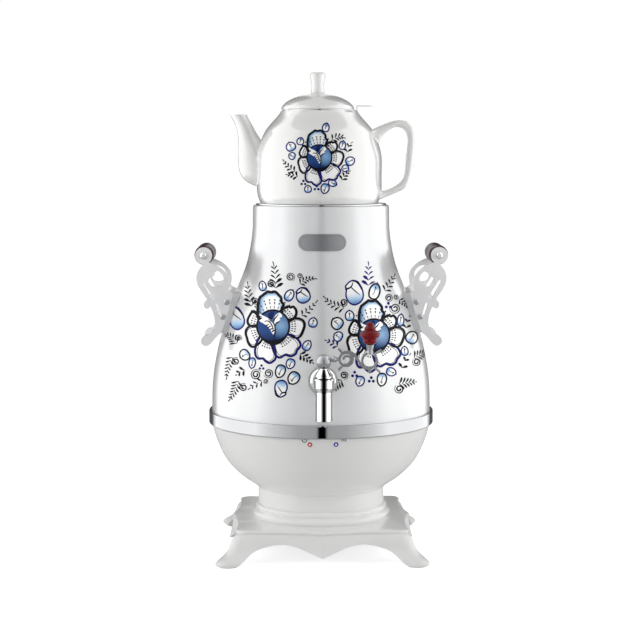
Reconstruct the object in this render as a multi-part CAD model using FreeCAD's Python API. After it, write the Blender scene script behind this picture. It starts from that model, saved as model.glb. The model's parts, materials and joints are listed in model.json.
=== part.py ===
"""Electric samovar with a teapot on top, as separate pieces. Millimetres, +Z up.

The origin is on the body's axis at the level of the floor. The tap is towards -Y.
"""
import FreeCAD
import Part

import math
import os

V = FreeCAD.Vector
UP = V(0, 0, 1)

# Clearances
TOUCH = 0.1          # between curved faces of pieces that are fixed to each other
RUNNING = 0.06       # radial, between a shaft and its hole
LIFT_GAP = 0.3       # between pieces that lift off each other

# Base stand
STAND_TOP_Z = 33.3
STAND_PLATE = 4.0
STAND_CORNER = 83.4      # half width across the rounded corners
STAND_CUSP = 89.3        # half width at the point in the middle of each side
STAND_HOLLOW = 82.6      # half width where the side curves in
STAND_CORNER_R = 9.0
STAND_WALL = 4.0
TOE_REACH = 102.6        # half width over the toes
TOE_BOTTOM_Z = 0.8
TOE_HEIGHT = 6.0
ARCH_TOP_Z = 20.0
ARCH_TOP_X = 41.0
ARCH_POINT_Z = 8.2
ARCH_FOOT_X = TOE_REACH - 19.6
STAND_UNDER_Z = STAND_TOP_Z - STAND_PLATE
BOTTOM_COVER_THICK = 1.5
BOTTOM_SCREW_LENGTH = 3.0
COVER_SCREW_COUNT = 3
VENT_R = 2.0
FOOT_PAD_R = 5.0
FOOT_PAD_DEPTH = 2.4
FOOT_PAD_X = TOE_REACH - 11.6

# Pedestal
PEDESTAL_R = 63.0
PEDESTAL_TOP_Z = 62.5
PEDESTAL_WALL = 3.0
PEDESTAL_RING_R = PEDESTAL_R + 5.5
PEDESTAL_BEAD_R = PEDESTAL_R + 2.6
STAND_HOLE_R = PEDESTAL_R - 17.0         # circles of the stand that keep to the pedestal
STAND_SCREW_CIRCLE = PEDESTAL_R - 6.5
BOTTOM_COVER_R = PEDESTAL_R - 10.0
TIE_CIRCLE_R = PEDESTAL_R - 9.0
PLATE_R = PEDESTAL_R - 4.0
BOWL_FOOT_R = PEDESTAL_R + 0.5
PEDESTAL_RING_Z = 36.8
PEDESTAL_BEAD_Z = 43.4
FLANGE_IN = 15.0         # how far the pedestal's flanges reach inwards

# Lower bowl, which holds the electrics
BOWL_R = 109.0
BOWL_TOP_Z = 127.0
BOWL_WALL = 2.5
BOWL_RIM = 5.5           # straight rim above the bowl, behind the trim band
BOWL_CURVE = [(0, 0), (0.064, 0.11), (0.157, 0.308), (0.25, 0.462), (0.343, 0.593),
              (0.482, 0.736), (0.622, 0.835), (0.761, 0.912), (0.891, 0.967), (1, 1)]

# Upper body, which holds the water
NECK_R = 67.5
BODY_TOP_Z = 343.6
BODY_WALL = 1.5
BODY_LIP = 5.0           # flange round the mouth, towards the axis
BODY_CURVE = [(0, 1), (0.10, 0.988), (0.183, 0.955), (0.266, 0.885), (0.36, 0.783),
              (0.423, 0.687), (0.502, 0.566), (0.60, 0.378), (0.668, 0.236),
              (0.737, 0.125), (0.83, 0.038), (0.894, 0.004), (1, 0)]

# Trim band, gasket and the floor of the tank
BAND_WALL = 2.9
BAND_HEIGHT = 12.7
GASKET_THICK = 1.5
GASKET_WIDTH = 5.0
TANK_FLOOR_Z = 142.0
TANK_FLOOR_WALL = 1.2

# Tie rods that clamp body, bowl and pedestal
TIE_COUNT = 3
TIE_R = 3.0
TIE_NUT_R = 5.5
TIE_NUT_HEIGHT = 5.0
TIE_BELOW = 9.0

# Heaters and what senses them
SPREADER_R = 66.0
SPREADER_THICK = 3.0
BOIL_RING_R = 44.0
BOIL_TUBE_R = 3.2
WARM_RING_R = 29.0
WARM_TUBE_R = 2.5
HEATER_TURN = 320.0
HEATER_PIN_R = 1.8
HEATER_PIN_LENGTH = 16.0
SENSOR_R = 7.0
SENSOR_X = 11.0
SENSOR_HEIGHT = 9.0
SENSOR_FLANGE_R = 8.5
SENSOR_FLANGE = 2.0
FUSE_R = 2.0
FUSE_LENGTH = 14.0
FUSE_Y = 36.5
BLADE = (4.0, 0.8, 7.0)

# Mounting plate and boards
PLATE_THICK = 1.5
PLATE_HOLE_R = 12.0
BOARD = (56.0, 38.0, 1.6)
BOARD_LEG = 6.0
BOARD_LEG_R = 2.5
BOARD_Y = -30.0
RELAY = (16.0, 20.0, 15.0)
TERMINALS = (30.0, 15.0, 13.0)
TERMINALS_Y = 32.0
TERMINAL_SCREW_R = 2.4
TERMINAL_COUNT = 3

# Indicator lamps
LAMP_X = 12.3
LAMP_Z = 121.5
LAMP_R = 2.2
LAMP_PROUD = 0.6
LAMP_BOARD = (52.0, 1.6, 15.0)
LAMP_BOARD_IN = 12.0
LAMP_BOARD_Y = -(BOWL_R - LAMP_BOARD_IN)
LAMP_POST_X = 21.0
LAMP_POST_R = 2.5

# Name plate, blank
BADGE_WIDTH = 46.0
BADGE_HEIGHT = 15.8
BADGE_Z = 309.6
BADGE_THICK = 1.2
BADGE_RIM = 1.6
BADGE_SINK = 0.5

# Socket housing at the back of the bowl
HOUSING_IN = 3.5         # the housing's flat back stays inside the widest line
HOUSING_Y = BOWL_R - HOUSING_IN
HOUSING_HALF = 31.0
HOUSING_LOW_Z = 92.5
HOUSING_HIGH_Z = 123.5
HOUSING_DEPTH = 30.0
SOCKET_Z = 108.0
INLET_X = -12.0
INLET = (27.0, 20.0, 20.0)
INLET_FLANGE = (31.0, 24.0, 2.0)
INLET_RECESS = (24.0, 16.5, 16.0)
INLET_PIN = (2.0, 4.0, 22.5)
INLET_PIN_BACK = 5.5
INLET_PIN_X = 7.0
INLET_PIN_RISE = 2.0
SWITCH_X = 19.0
SWITCH = (13.0, 19.4, 14.0)
SWITCH_FLANGE = (17.0, 24.0, 2.0)
SWITCH_WALL = 1.2
ROCKER_GAP = 0.3
ROCKER_HALF = 7.2
ROCKER_RISE = 6.4
ROCKER_DIP = 4.4
ROCKER_BELOW = 2.6
ROCKER_TILT = 8.0
ROCKER_PIN_R = 1.2
ROCKER_PIVOT_IN = 4.0
ROCKER_PIVOT_Y = HOUSING_Y - ROCKER_PIVOT_IN

# Top cover, under the teapot
COVER_R = NECK_R - 2.9
COVER_THICK = 1.5
COVER_SKIRT = 9.0
STEAM_HOLE_R = 28.0
COVER_RING_R = 47.0
COVER_RING_RISE = 2.5

# Tap
TAP_REACH = 38.0         # from the body's widest line to the spout's axis
TAP_Y = -(BOWL_R + TAP_REACH)
TAP_PIPE_Z = 182.0
TAP_PIPE_R = 7.5
TAP_BORE_R = 4.5
TAP_SPOUT_R = 8.5
TAP_SPOUT_BORE_R = 5.5
TAP_SPOUT_Z = 150.4
TAP_SHOULDER_Z = 171.0
TAP_BARREL_R = 10.1
TAP_BARREL_LOW_Z = 180.3
TAP_BARREL_HIGH_Z = 189.5
TAP_GASKET_R = 14.0
TAP_GASKET_Y = -BOWL_R
TAP_ROSE_R = 15.4
TAP_ROSE_THICK = 3.4
TAP_SHANK_R = 7.0
TAP_NUT_R = 12.0
TAP_NUT_THICK = 6.0
TAP_SEAL_IN = 8.5
TAP_SEAL_Y = TAP_GASKET_Y + TAP_SEAL_IN
PLUG_R = 6.6
PLUG_LOW_Z = 171.0
PLUG_PORT_R = 3.6
PLUG_TOP_Z = 188.6
PLUG_GROOVE = 1.0
PLUG_SEAL = 1.6
STEM_R = 3.4
STEM_TOP_Z = 207.0
BONNET_TOP_Z = 198.0
BONNET_R = 8.7
BONNET_TOP_R = 4.6
HUB_R = 7.0
HUB_Z = 205.0
HUB_STEPS = 8
KEY_PIN_R = 1.0
KEY_THICK = 5.0
KEY_BAR = 1.9
KEY_BAR_THICK = 4.0
KEY_BEAD_R = 2.9
KEY_BEAD_HALF = 2.2
KEY_RUNS = 6             # straight runs for each stretch of a bar's curve
KEY_LEFT = (20.4, 207.3, 7.0)     # x, z and outer radius of the scroll next to the hub
KEY_RIGHT = (41.8, 206.0, 7.7)    # the same for the open ring under the knob
KNOB_X = 42.1
KNOB_LOW_Z = 220.5
KNOB_HEIGHT = 21.0
KNOB_STUD_R = 2.0
KNOB_STUD_IN = 5.0
KNOB_CURVE = [(3.2, 0.0), (5.6, 0.05), (6.4, 0.18), (4.6, 0.31), (4.9, 0.35),
              (9.4, 0.43), (10.0, 0.5), (7.4, 0.6), (4.2, 0.68), (5.4, 0.75),
              (4.6, 0.84), (2.6, 0.89), (3.1, 0.94), (2.2, 0.985)]

# Side handles. Points of the bracket are (distance out from the body at the saddle, height)
BRACKET_Y = 32.0
BRACKET_THICK = 5.0
GRIP_OUT = 22.8
GRIP_Z = 295.2
GRIP_R = 9.5
GRIP_BORE_R = 3.0
BOSS_R = 8.2
GRIP_NUT_R = 3.6
GRIP_NUT_HEIGHT = 1.8
BRACKET_OUTLINE = [
    [(21.1, 288.5), (25.5, 284.3), (29.6, 276.8), (29.6, 269.5), (26.4, 262.4), (19.5, 251.6)],
    [(19.5, 251.6), (22.7, 249.2), (22.3, 244.8), (16.4, 245.3)],
    [(16.4, 245.3), (13.4, 237.5), (12.8, 227.4), (15.6, 221.1), (19.1, 217.4)],
    [(19.1, 217.4), (24.9, 214.6), (26.0, 210.8), (21.4, 206.8), (15.6, 210.2), (7.0, 218.8)],
    [(7.0, 218.8), (1.6, 231.5), (-2.4, 245.0), (-5.8, 258.0)],
    [(-5.8, 258.0), (-0.7, 261.2)],
    [(-0.7, 261.2), (-1.9, 268.0), (-0.9, 274.6), (3.3, 280.6), (9.6, 285.2), (17.1, 288.5)],
    [(17.1, 288.5), (21.1, 288.5)],
]
BRACKET_WINDOW = [
    [(14.8, 281.2), (12.1, 277.4), (17.1, 273.4)],
    [(17.1, 273.4), (18.3, 270.0), (15.2, 265.4), (9.5, 265.0), (4.9, 268.0), (3.7, 273.6),
     (7.7, 279.4), (14.8, 281.2)],
]
BRACKET_SLOTS = [((22.6, 269.5), (14.0, 253.9), 3.2), ((10.5, 247.6), (7.7, 238.0), 2.4)]
SADDLE_REACH = 8.0       # how far the mounting saddle stands out from the body
SADDLE_LOW_Z = 219.5
SADDLE_HIGH_Z = 258.5
SADDLE_INSIDE = 24.0
HANDLE_SCREWS = [(0.7, 249.7), (4.5, 235.5)]
SCREW_R = 1.5
SCREW_HEAD_R = 2.7
SCREW_HEAD = 1.7
SCREW_LENGTH = 14.0

# Teapot
POT_X = -1.8             # it stands a little left of the body's axis
POT_BASE_R = 58.0
POT_BELLY_R = 61.8
POT_MOUTH_R = 37.6
POT_HEIGHT = 90.2
POT_WALL = 4.0
POT_FOOT_RISE = 3.5
POT_FOOT_WIDTH = 8.0
POT_CURVE = [(0.0, 0.0), (0.05, 0.55), (0.17, 1.0), (0.32, 0.97), (0.52, 0.90)]
POT_SHOULDER = [(0.66, 0.845), (0.79, 0.63), (0.865, 0.41), (0.925, 0.205), (1.0, 0.0)]
SPOUT_SECTIONS = [       # height over the pot's foot, near and far end, half width across
    (17.0, 44.0, 64.0, 9.0), (22.0, 44.0, 73.0, 12.0), (30.0, 44.0, 78.4, 14.0),
    (48.0, 46.5, 79.6, 13.0), (60.0, 55.5, 79.8, 11.0), (69.0, 62.0, 80.6, 9.0),
    (78.0, 67.0, 83.2, 8.2), (86.8, 71.4, 87.6, 7.6)]
SPOUT_WALL = 3.0
POT_HANDLE_OUTER = [(52.0, 72.0), (57.5, 74.6), (63.0, 77.0), (71.0, 80.0), (79.0, 81.2), (86.2, 79.9),
                    (91.4, 75.6), (93.6, 68.2), (93.4, 50.0), (91.4, 31.6), (88.4, 20.6),
                    (83.8, 14.0), (78.0, 10.8), (68.0, 6.6), (57.0, 2.0)]
POT_HANDLE_INNER = [(57.0, 11.4), (61.0, 11.6), (71.5, 14.6), (78.0, 18.4), (82.6, 23.5), (85.4, 35.2),
                    (86.6, 50.0), (86.8, 66.8), (84.0, 71.9), (78.0, 74.9), (68.0, 71.2),
                    (61.3, 64.6), (57.4, 55.8), (52.0, 52.0)]
POT_HANDLE_WIDTH = 11.0
POT_HANDLE_ROUND = 2.4

# Infuser basket and lid
BASKET_R = 31.0
BASKET_WALL = 0.6
BASKET_DEPTH = 62.0
BASKET_FLANGE_R = 36.4
TAB_WIDTH = 12.0
TAB_RISE = 4.4
TAB_LENGTH = 17.0
SLOT_COUNT = 18
SLOT_R = 1.2
SLOT_LENGTH = 30.0
LID_SHIFT = -1.5         # the lid is pushed aside by the basket's tab
LID_R = 35.9
LID_WALL = 3.5
LID_RISE = 15.4
LID_SKIRT_R = 28.4
LID_SKIRT = 6.0
LID_CURVE = [(1.0, 0.0), (0.99, 0.09), (0.961, 0.21), (0.833, 0.48), (0.57, 0.78), (0.3, 0.93), (0.165, 1.0)]
LID_KNOB_R = 7.4
LID_KNOB_NECK_R = 5.7
LID_KNOB_HEIGHT = 20.4

# Levels that follow from the sizes above
BAND_TOP_Z = BOWL_TOP_Z + BAND_HEIGHT
BOWL_RIM_Z = BOWL_TOP_Z + BOWL_RIM
BODY_LOW_Z = BOWL_RIM_Z + GASKET_THICK
PLATE_Z = PEDESTAL_TOP_Z + BOWL_WALL
SPREADER_Z = TANK_FLOOR_Z - SPREADER_THICK
COVER_Z = BODY_TOP_Z
POT_Z = COVER_Z + COVER_THICK + LIFT_GAP
POT_TOP_Z = POT_Z + POT_HEIGHT
LID_X = POT_X + LID_SHIFT


def spline(points):
    """A smooth edge through the points."""
    curve = Part.BSplineCurve()
    curve.interpolate(Points=points)
    return curve.toShape()


def wire(path):
    """A closed wire. Each point, or list of points, is reached by a straight line. A list is a smooth curve."""
    edges = []
    first = None
    last = None
    for step in path:
        points = step if isinstance(step, list) else [step]
        if last is None:
            first = points[0]
        elif last.distanceToPoint(points[0]) > 1e-6:
            edges.append(Part.LineSegment(last, points[0]).toShape())
        if len(points) == 2:
            edges.append(Part.LineSegment(points[0], points[1]).toShape())
        elif len(points) > 2:
            edges.append(spline(points))
        last = points[-1]
    if last.distanceToPoint(first) > 1e-6:
        edges.append(Part.LineSegment(last, first).toShape())
    return Part.Wire(edges)


def face(path):
    return Part.Face(wire(path))


def lathe(path, x=0.0, y=0.0):
    """A turned solid about the vertical line through (x, y), from a closed outline of (r, z)."""
    steps = [[V(r, 0, z) for r, z in step] if isinstance(step, list) else V(step[0], 0, step[1])
             for step in path]
    solid = face(steps).revolve(V(0, 0, 0), UP, 360)
    solid.translate(V(x, y, 0))
    return solid


def ring(outer, inner, low, high, x=0.0, y=0.0):
    return lathe([(inner, low), (outer, low), (outer, high), (inner, high)], x, y)


def rod(radius, start, end):
    run = end - start
    return Part.makeCylinder(radius, run.Length, start, run)


def block(x_size, y_size, z_size, centre):
    corner = centre - V(x_size / 2, y_size / 2, z_size / 2)
    return Part.makeBox(x_size, y_size, z_size, corner)


def hexagon(radius, low, high, x, y):
    corners = [V(x + radius * math.cos(math.radians(a)), y + radius * math.sin(math.radians(a)), low)
               for a in range(0, 360, 60)]
    return face(corners).extrude(V(0, 0, high - low))


def inset(points, wall):
    """A curve of (r, z), listed upwards, moved towards the inside by one wall."""
    moved = []
    for index, (r, z) in enumerate(points):
        r0, z0 = points[max(index - 1, 0)]
        r1, z1 = points[min(index + 1, len(points) - 1)]
        run = math.hypot(r1 - r0, z1 - z0)
        moved.append((r - wall * (z1 - z0) / run, z + wall * (r1 - r0) / run))
    return moved


def bent(curve, low, high, zero_r, one_r):
    """Points (r, z) of a curve that is given in shares of a height and of a change of radius."""
    return [(zero_r + (one_r - zero_r) * swell, low + (high - low) * rise) for rise, swell in curve]


def around(count, radius, start=0.0):
    turn = 360.0 / count
    angles = [math.radians(start + turn * index) for index in range(count)]
    return [(radius * math.cos(a), radius * math.sin(a)) for a in angles]


def fuse(first, *others):
    return first.multiFuse(list(others)).removeSplitter()


def group(solids):
    return Part.makeCompound(solids)


def mirror_x(shape):
    return shape.mirror(V(0, 0, 0), V(1, 0, 0))


def mirror_y(shape):
    return shape.mirror(V(0, 0, 0), V(0, 1, 0))


BODY_OUTER = bent(BODY_CURVE, BAND_TOP_Z, BODY_TOP_Z, NECK_R, BOWL_R)
BOWL_OUTER = bent(BOWL_CURVE, PEDESTAL_TOP_Z, BOWL_TOP_Z, BOWL_FOOT_R, BOWL_R)


def radius_at(profile, z):
    """Radius of a profile of (r, z) points at a height."""
    for (r0, z0), (r1, z1) in zip(profile, profile[1:]):
        if z0 <= z <= z1:
            return r0 + (r1 - r0) * (z - z0) / (z1 - z0)
    return profile[-1][0]


HANDLE_R = radius_at(BODY_OUTER, (SADDLE_LOW_Z + SADDLE_HIGH_Z) / 2)


def stand_outline(corner, hollow, cusp, z):
    """The stand's outline in plan: rounded corners, and on each side two hollow arcs that meet at a cusp."""
    bend = STAND_CORNER_R
    reach = corner - bend
    diagonal = reach + bend * math.sqrt(0.5)
    edges = []
    for turn in range(4):
        side = [Part.Arc(V(reach, -corner, z), V(diagonal, -diagonal, z), V(corner, -reach, z)),
                Part.Arc(V(corner, -reach, z), V(hollow, -corner / 2, z), V(cusp, 0, z)),
                Part.Arc(V(cusp, 0, z), V(hollow, corner / 2, z), V(corner, reach, z))]
        for arc in side:
            edge = arc.toShape()
            edge.rotate(V(0, 0, 0), UP, 90 * turn)
            edges.append(edge)
    return Part.Wire(edges)


def stand_skirt(wall):
    """The flaring apron with its corner feet, as a solid reduced by a wall all round."""
    levels = [(STAND_UNDER_Z + 0.5, STAND_CORNER - 1.5, STAND_HOLLOW - 1.5, STAND_CUSP - 1.5),
              (27.0, 85.2, 83.0, 88.8),
              (17.0, TOE_REACH - 12.8, 85.8, 90.4),
              (8.6, TOE_REACH - 4.4, 89.5, 92.6),
              (4.4, TOE_REACH, 91.5, 93.6),
              (TOE_BOTTOM_Z, TOE_REACH - 3.4, 90.5, 93.0)]
    wires = [stand_outline(corner - wall, hollow - wall, cusp - wall, z) for z, corner, hollow, cusp in levels]
    return Part.makeLoft(wires, True, False)


def stand_plate():
    """The top plate, its rim rounded over and under."""
    wires = []
    for rise, less in ((0.0, 1.7), (0.14, 0.6), (0.5, 0.0), (0.86, 0.6), (1.0, 1.7)):
        outline = stand_outline(STAND_CORNER - less, STAND_HOLLOW - less, STAND_CUSP - less,
                                STAND_UNDER_Z + STAND_PLATE * rise)
        wires.append(outline)
    return Part.makeLoft(wires, True, False)


def arch_cutter():
    """What is cut away under the apron, from front to back."""
    right = [(0.0, ARCH_POINT_Z), (14.0, 13.4), (27.0, 18.2), (ARCH_TOP_X, ARCH_TOP_Z), (55.0, 17.8), (66.9, 13.1),
             (ARCH_FOOT_X - 7.4, 6.0), (ARCH_FOOT_X, TOE_BOTTOM_Z)]
    far = 2 * TOE_REACH
    half = [V(x, -TOE_REACH - 1, z) for x, z in right]
    other = [V(-x, -TOE_REACH - 1, z) for x, z in reversed(right)]
    floor = [V(ARCH_FOOT_X, -TOE_REACH - 1, -1), V(-ARCH_FOOT_X, -TOE_REACH - 1, -1)]
    return face([half] + floor + [other]).extrude(V(0, far + 2, 0))


def foot_places():
    return [(FOOT_PAD_X * sx, FOOT_PAD_X * sy) for sx in (-1, 1) for sy in (-1, 1)]


def base_stand():
    plate = stand_plate()
    skirt = stand_skirt(0)
    inside = stand_skirt(STAND_WALL)
    toes = Part.makeBox(4 * TOE_REACH, 4 * TOE_REACH, TOE_HEIGHT, V(-2 * TOE_REACH, -2 * TOE_REACH, 0))
    inside = inside.cut(toes)
    arch = arch_cutter()
    across = arch.copy()
    across.rotate(V(0, 0, 0), UP, 90)
    skirt = skirt.cut(inside).cut(arch).cut(across)
    stand = plate.fuse(skirt)
    stand = stand.cut(Part.makeCylinder(STAND_HOLE_R, 2 * STAND_TOP_Z))
    for x, y in foot_places():
        stand = stand.cut(Part.makeCylinder(FOOT_PAD_R + TOUCH, FOOT_PAD_DEPTH, V(x, y, 0)))
    for x, y in around(4, STAND_SCREW_CIRCLE, 45):
        stand = stand.cut(Part.makeCylinder(SCREW_R + TOUCH, 2 * STAND_TOP_Z, V(x, y, 0)))
    for x, y in around(COVER_SCREW_COUNT, BOTTOM_COVER_R - 4, 90):
        hole = Part.makeCylinder(SCREW_R + TOUCH, BOTTOM_SCREW_LENGTH, V(x, y, STAND_UNDER_Z))
        stand = stand.cut(hole)
    return stand


def foot_pads():
    return group([Part.makeCylinder(FOOT_PAD_R, FOOT_PAD_DEPTH, V(x, y, 0)) for x, y in foot_places()])


def pan_screw(length, head_r=SCREW_HEAD_R):
    """A screw along +Z, its head under z = 0 and its shaft above."""
    head = lathe([(0, -SCREW_HEAD), (head_r * 0.6, -SCREW_HEAD), (head_r, -SCREW_HEAD * 0.4), (head_r, 0), (0, 0)])
    return head.fuse(Part.makeCylinder(SCREW_R, length)).removeSplitter()


def bottom_cover():
    low = STAND_UNDER_Z - BOTTOM_COVER_THICK
    cover = ring(BOTTOM_COVER_R, 0, low, STAND_UNDER_Z)
    for x, y in around(COVER_SCREW_COUNT, BOTTOM_COVER_R - 4, 90):
        cover = cover.cut(Part.makeCylinder(SCREW_R + TOUCH, 10, V(x, y, low - 1)))
    for x, y in around(8, BOTTOM_COVER_R * 0.45, 22.5):
        cover = cover.cut(Part.makeCylinder(VENT_R, 10, V(x, y, low - 1)))
    return cover


def bottom_cover_screws():
    screws = []
    for x, y in around(COVER_SCREW_COUNT, BOTTOM_COVER_R - 4, 90):
        screw = pan_screw(BOTTOM_COVER_THICK + BOTTOM_SCREW_LENGTH - 0.5)
        screw.translate(V(x, y, STAND_UNDER_Z - BOTTOM_COVER_THICK))
        screws.append(screw)
    return group(screws)


def base_screws():
    screws = []
    for x, y in around(4, STAND_SCREW_CIRCLE, 45):
        screw = pan_screw(STAND_PLATE + PEDESTAL_WALL - 0.5)
        screw.translate(V(x, y, STAND_UNDER_Z))
        screws.append(screw)
    return group(screws)


def pedestal():
    low = STAND_TOP_Z
    high = PEDESTAL_TOP_Z
    outer_ring = [(PEDESTAL_RING_R - 1.2, low), (PEDESTAL_RING_R, PEDESTAL_RING_Z - 1.2),
                  (PEDESTAL_RING_R - 0.2, PEDESTAL_RING_Z + 1), (PEDESTAL_RING_R - 2.6, PEDESTAL_RING_Z + 3.4)]
    bead = [(PEDESTAL_BEAD_R - 0.8, PEDESTAL_BEAD_Z - 2.6), (PEDESTAL_BEAD_R, PEDESTAL_BEAD_Z - 0.6),
            (PEDESTAL_BEAD_R - 0.4, PEDESTAL_BEAD_Z + 1.2), (PEDESTAL_R - 0.5, PEDESTAL_BEAD_Z + 2.8)]
    inner = PEDESTAL_R - PEDESTAL_WALL
    path = [(PEDESTAL_R - FLANGE_IN, low), outer_ring, bead, (PEDESTAL_R, PEDESTAL_BEAD_Z + 3.4),
            (PEDESTAL_R, high), (PEDESTAL_R - FLANGE_IN, high),
            (PEDESTAL_R - FLANGE_IN, high - PEDESTAL_WALL), (inner, high - PEDESTAL_WALL),
            (inner, low + PEDESTAL_WALL), (PEDESTAL_R - FLANGE_IN, low + PEDESTAL_WALL)]
    column = lathe(path)
    for x, y in around(TIE_COUNT, TIE_CIRCLE_R, 90):
        column = column.cut(Part.makeCylinder(TIE_R + TOUCH, 20, V(x, y, high - 10)))
    for x, y in around(4, STAND_SCREW_CIRCLE, 45):
        column = column.cut(Part.makeCylinder(SCREW_R + TOUCH, 2 * PEDESTAL_WALL, V(x, y, low - PEDESTAL_WALL)))
    return column


def bowl_outer_solid():
    return lathe([(0, PEDESTAL_TOP_Z), BOWL_OUTER, (BOWL_R, BOWL_RIM_Z), (0, BOWL_RIM_Z)])


def bowl_inner_solid():
    inner = inset(BOWL_OUTER, BOWL_WALL)
    floor_z = PEDESTAL_TOP_Z + BOWL_WALL
    inner = [(r, z) for r, z in inner if z > floor_z + 1]
    inner[-1] = (BOWL_R - BOWL_WALL, BOWL_TOP_Z)
    foot = (inner[0][0] - 4, floor_z)
    return lathe([(0, floor_z), [foot] + inner, (BOWL_R - BOWL_WALL, BOWL_RIM_Z + 1), (0, BOWL_RIM_Z + 1)])


def housing(grow):
    """The flat-backed box at the rear of the bowl, for the inlet and the switch."""
    low = HOUSING_LOW_Z + grow
    high = HOUSING_HIGH_Z - grow
    depth = HOUSING_DEPTH if grow == 0 else HOUSING_DEPTH + 10
    half = HOUSING_HALF - grow
    return Part.makeBox(2 * half, depth, high - low, V(-half, HOUSING_Y - grow - depth, low))


def lower_bowl():
    inside = bowl_inner_solid()
    shell = bowl_outer_solid().fuse(housing(0)).cut(inside).cut(housing(BOWL_WALL))
    beyond = housing(0)
    beyond.translate(V(0, HOUSING_DEPTH, 0))
    shell = shell.cut(beyond)
    hole = Part.makeCylinder(PEDESTAL_R - FLANGE_IN, 20, V(0, 0, PEDESTAL_TOP_Z - 10))
    shell = shell.cut(hole)
    for x, y in around(TIE_COUNT, TIE_CIRCLE_R, 90):
        shell = shell.cut(Part.makeCylinder(TIE_R + TOUCH, 20, V(x, y, PEDESTAL_TOP_Z - 10)))
    for side in (-1, 1):
        for z in (LAMP_Z - LAMP_BOARD[2] / 2 + 3, LAMP_Z + LAMP_BOARD[2] / 2 - 3):
            post = rod(LAMP_POST_R, V(side * LAMP_POST_X, -BOWL_R, z), V(side * LAMP_POST_X, LAMP_BOARD_Y - 0.8, z))
            shell = shell.fuse(post.common(bowl_outer_solid()))
        hole = rod(LAMP_R + TOUCH, V(side * LAMP_X, -BOWL_R - 5, LAMP_Z), V(side * LAMP_X, LAMP_BOARD_Y, LAMP_Z))
        shell = shell.cut(hole)
    inlet_hole = block(INLET[0] + 2 * TOUCH, 20, INLET[1] + 2 * TOUCH, V(INLET_X, HOUSING_Y, SOCKET_Z))
    switch_hole = block(SWITCH[0] + 2 * TOUCH, 20, SWITCH[1] + 2 * TOUCH, V(SWITCH_X, HOUSING_Y, SOCKET_Z))
    return shell.cut(inlet_hole).cut(switch_hole).removeSplitter()


def trim_band():
    low = BOWL_TOP_Z
    inner = BOWL_R + TOUCH
    outer = BOWL_R + BAND_WALL + TOUCH
    soft = 0.6
    return lathe([(inner, low), (outer - soft, low), (outer, low + soft), (outer, BAND_TOP_Z - soft),
                  (outer - soft, BAND_TOP_Z), (inner, BAND_TOP_Z)])


def tank_gasket():
    return ring(BOWL_R - 0.5, BOWL_R - GASKET_WIDTH, BOWL_RIM_Z, BODY_LOW_Z)


def tank_floor():
    """The pressed floor of the water tank, with its rim turned down onto the gasket."""
    rim = BOWL_R - BODY_WALL - TOUCH
    wall = TANK_FLOOR_WALL
    bend = 4.0
    top = TANK_FLOOR_Z + wall
    outer = [(rim, top - bend), (rim - bend * 0.3, top - bend * 0.3), (rim - bend, top)]
    inner = [(rim - bend, TANK_FLOOR_Z), (rim - wall - (bend - wall) * 0.3, TANK_FLOOR_Z - (bend - wall) * 0.3),
             (rim - wall, top - bend)]
    return lathe([(0, top), (0, TANK_FLOOR_Z), inner, (rim - wall, BODY_LOW_Z), (rim, BODY_LOW_Z), outer])


def tie_rods():
    low = PEDESTAL_TOP_Z - TIE_BELOW
    return group([rod(TIE_R, V(x, y, low), V(x, y, TANK_FLOOR_Z)) for x, y in around(TIE_COUNT, TIE_CIRCLE_R, 90)])


def tie_nuts():
    high = PEDESTAL_TOP_Z - PEDESTAL_WALL
    nuts = []
    for x, y in around(TIE_COUNT, TIE_CIRCLE_R, 90):
        nut = hexagon(TIE_NUT_R, high - TIE_NUT_HEIGHT, high, x, y)
        nuts.append(nut.cut(Part.makeCylinder(TIE_R + TOUCH / 2, 30, V(x, y, high - 20))))
    return group(nuts)


def upper_body():
    inner = inset(BODY_OUTER, BODY_WALL)
    inner[0] = (BOWL_R - BODY_WALL, BAND_TOP_Z)
    inner[-1] = (NECK_R - BODY_WALL, BODY_TOP_Z - BODY_WALL)
    mouth = NECK_R - BODY_LIP
    path = [(BOWL_R - BODY_WALL, BODY_LOW_Z), (BOWL_R, BODY_LOW_Z), BODY_OUTER[:-1],
            (NECK_R, BODY_TOP_Z - 2), [(NECK_R, BODY_TOP_Z - 2), (NECK_R - 0.6, BODY_TOP_Z - 0.6),
                                       (NECK_R - 2, BODY_TOP_Z)],
            (mouth, BODY_TOP_Z), (mouth, BODY_TOP_Z - BODY_WALL), list(reversed(inner))]
    shell = lathe(path)
    shank = rod(TAP_SHANK_R + TOUCH, V(0, TAP_GASKET_Y - 5, TAP_PIPE_Z), V(0, -NECK_R, TAP_PIPE_Z))
    return shell.cut(shank)


def body_solid():
    """Everything inside the upper body's outer surface."""
    return lathe([(0, BODY_LOW_Z), (BOWL_R, BODY_LOW_Z), BODY_OUTER, (0, BODY_TOP_Z)])


def body_room():
    """Everything inside the upper body's inner surface."""
    inner = inset(BODY_OUTER, BODY_WALL)
    inner[0] = (BOWL_R - BODY_WALL, BAND_TOP_Z)
    inner[-1] = (NECK_R - BODY_WALL, BODY_TOP_Z)
    return lathe([(0, BODY_LOW_Z), (BOWL_R - BODY_WALL, BODY_LOW_Z), inner, (0, BODY_TOP_Z)])


def stadium(width, height, y, depth, z):
    """A flat plate with round ends, facing the front, its front at y."""
    half = width / 2 - height / 2
    middle = block(2 * half, depth, height, V(0, y + depth / 2, z))
    ends = [Part.makeCylinder(height / 2, depth, V(side * half, y, z), V(0, 1, 0)) for side in (-1, 1)]
    return fuse(middle, *ends)


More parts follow.
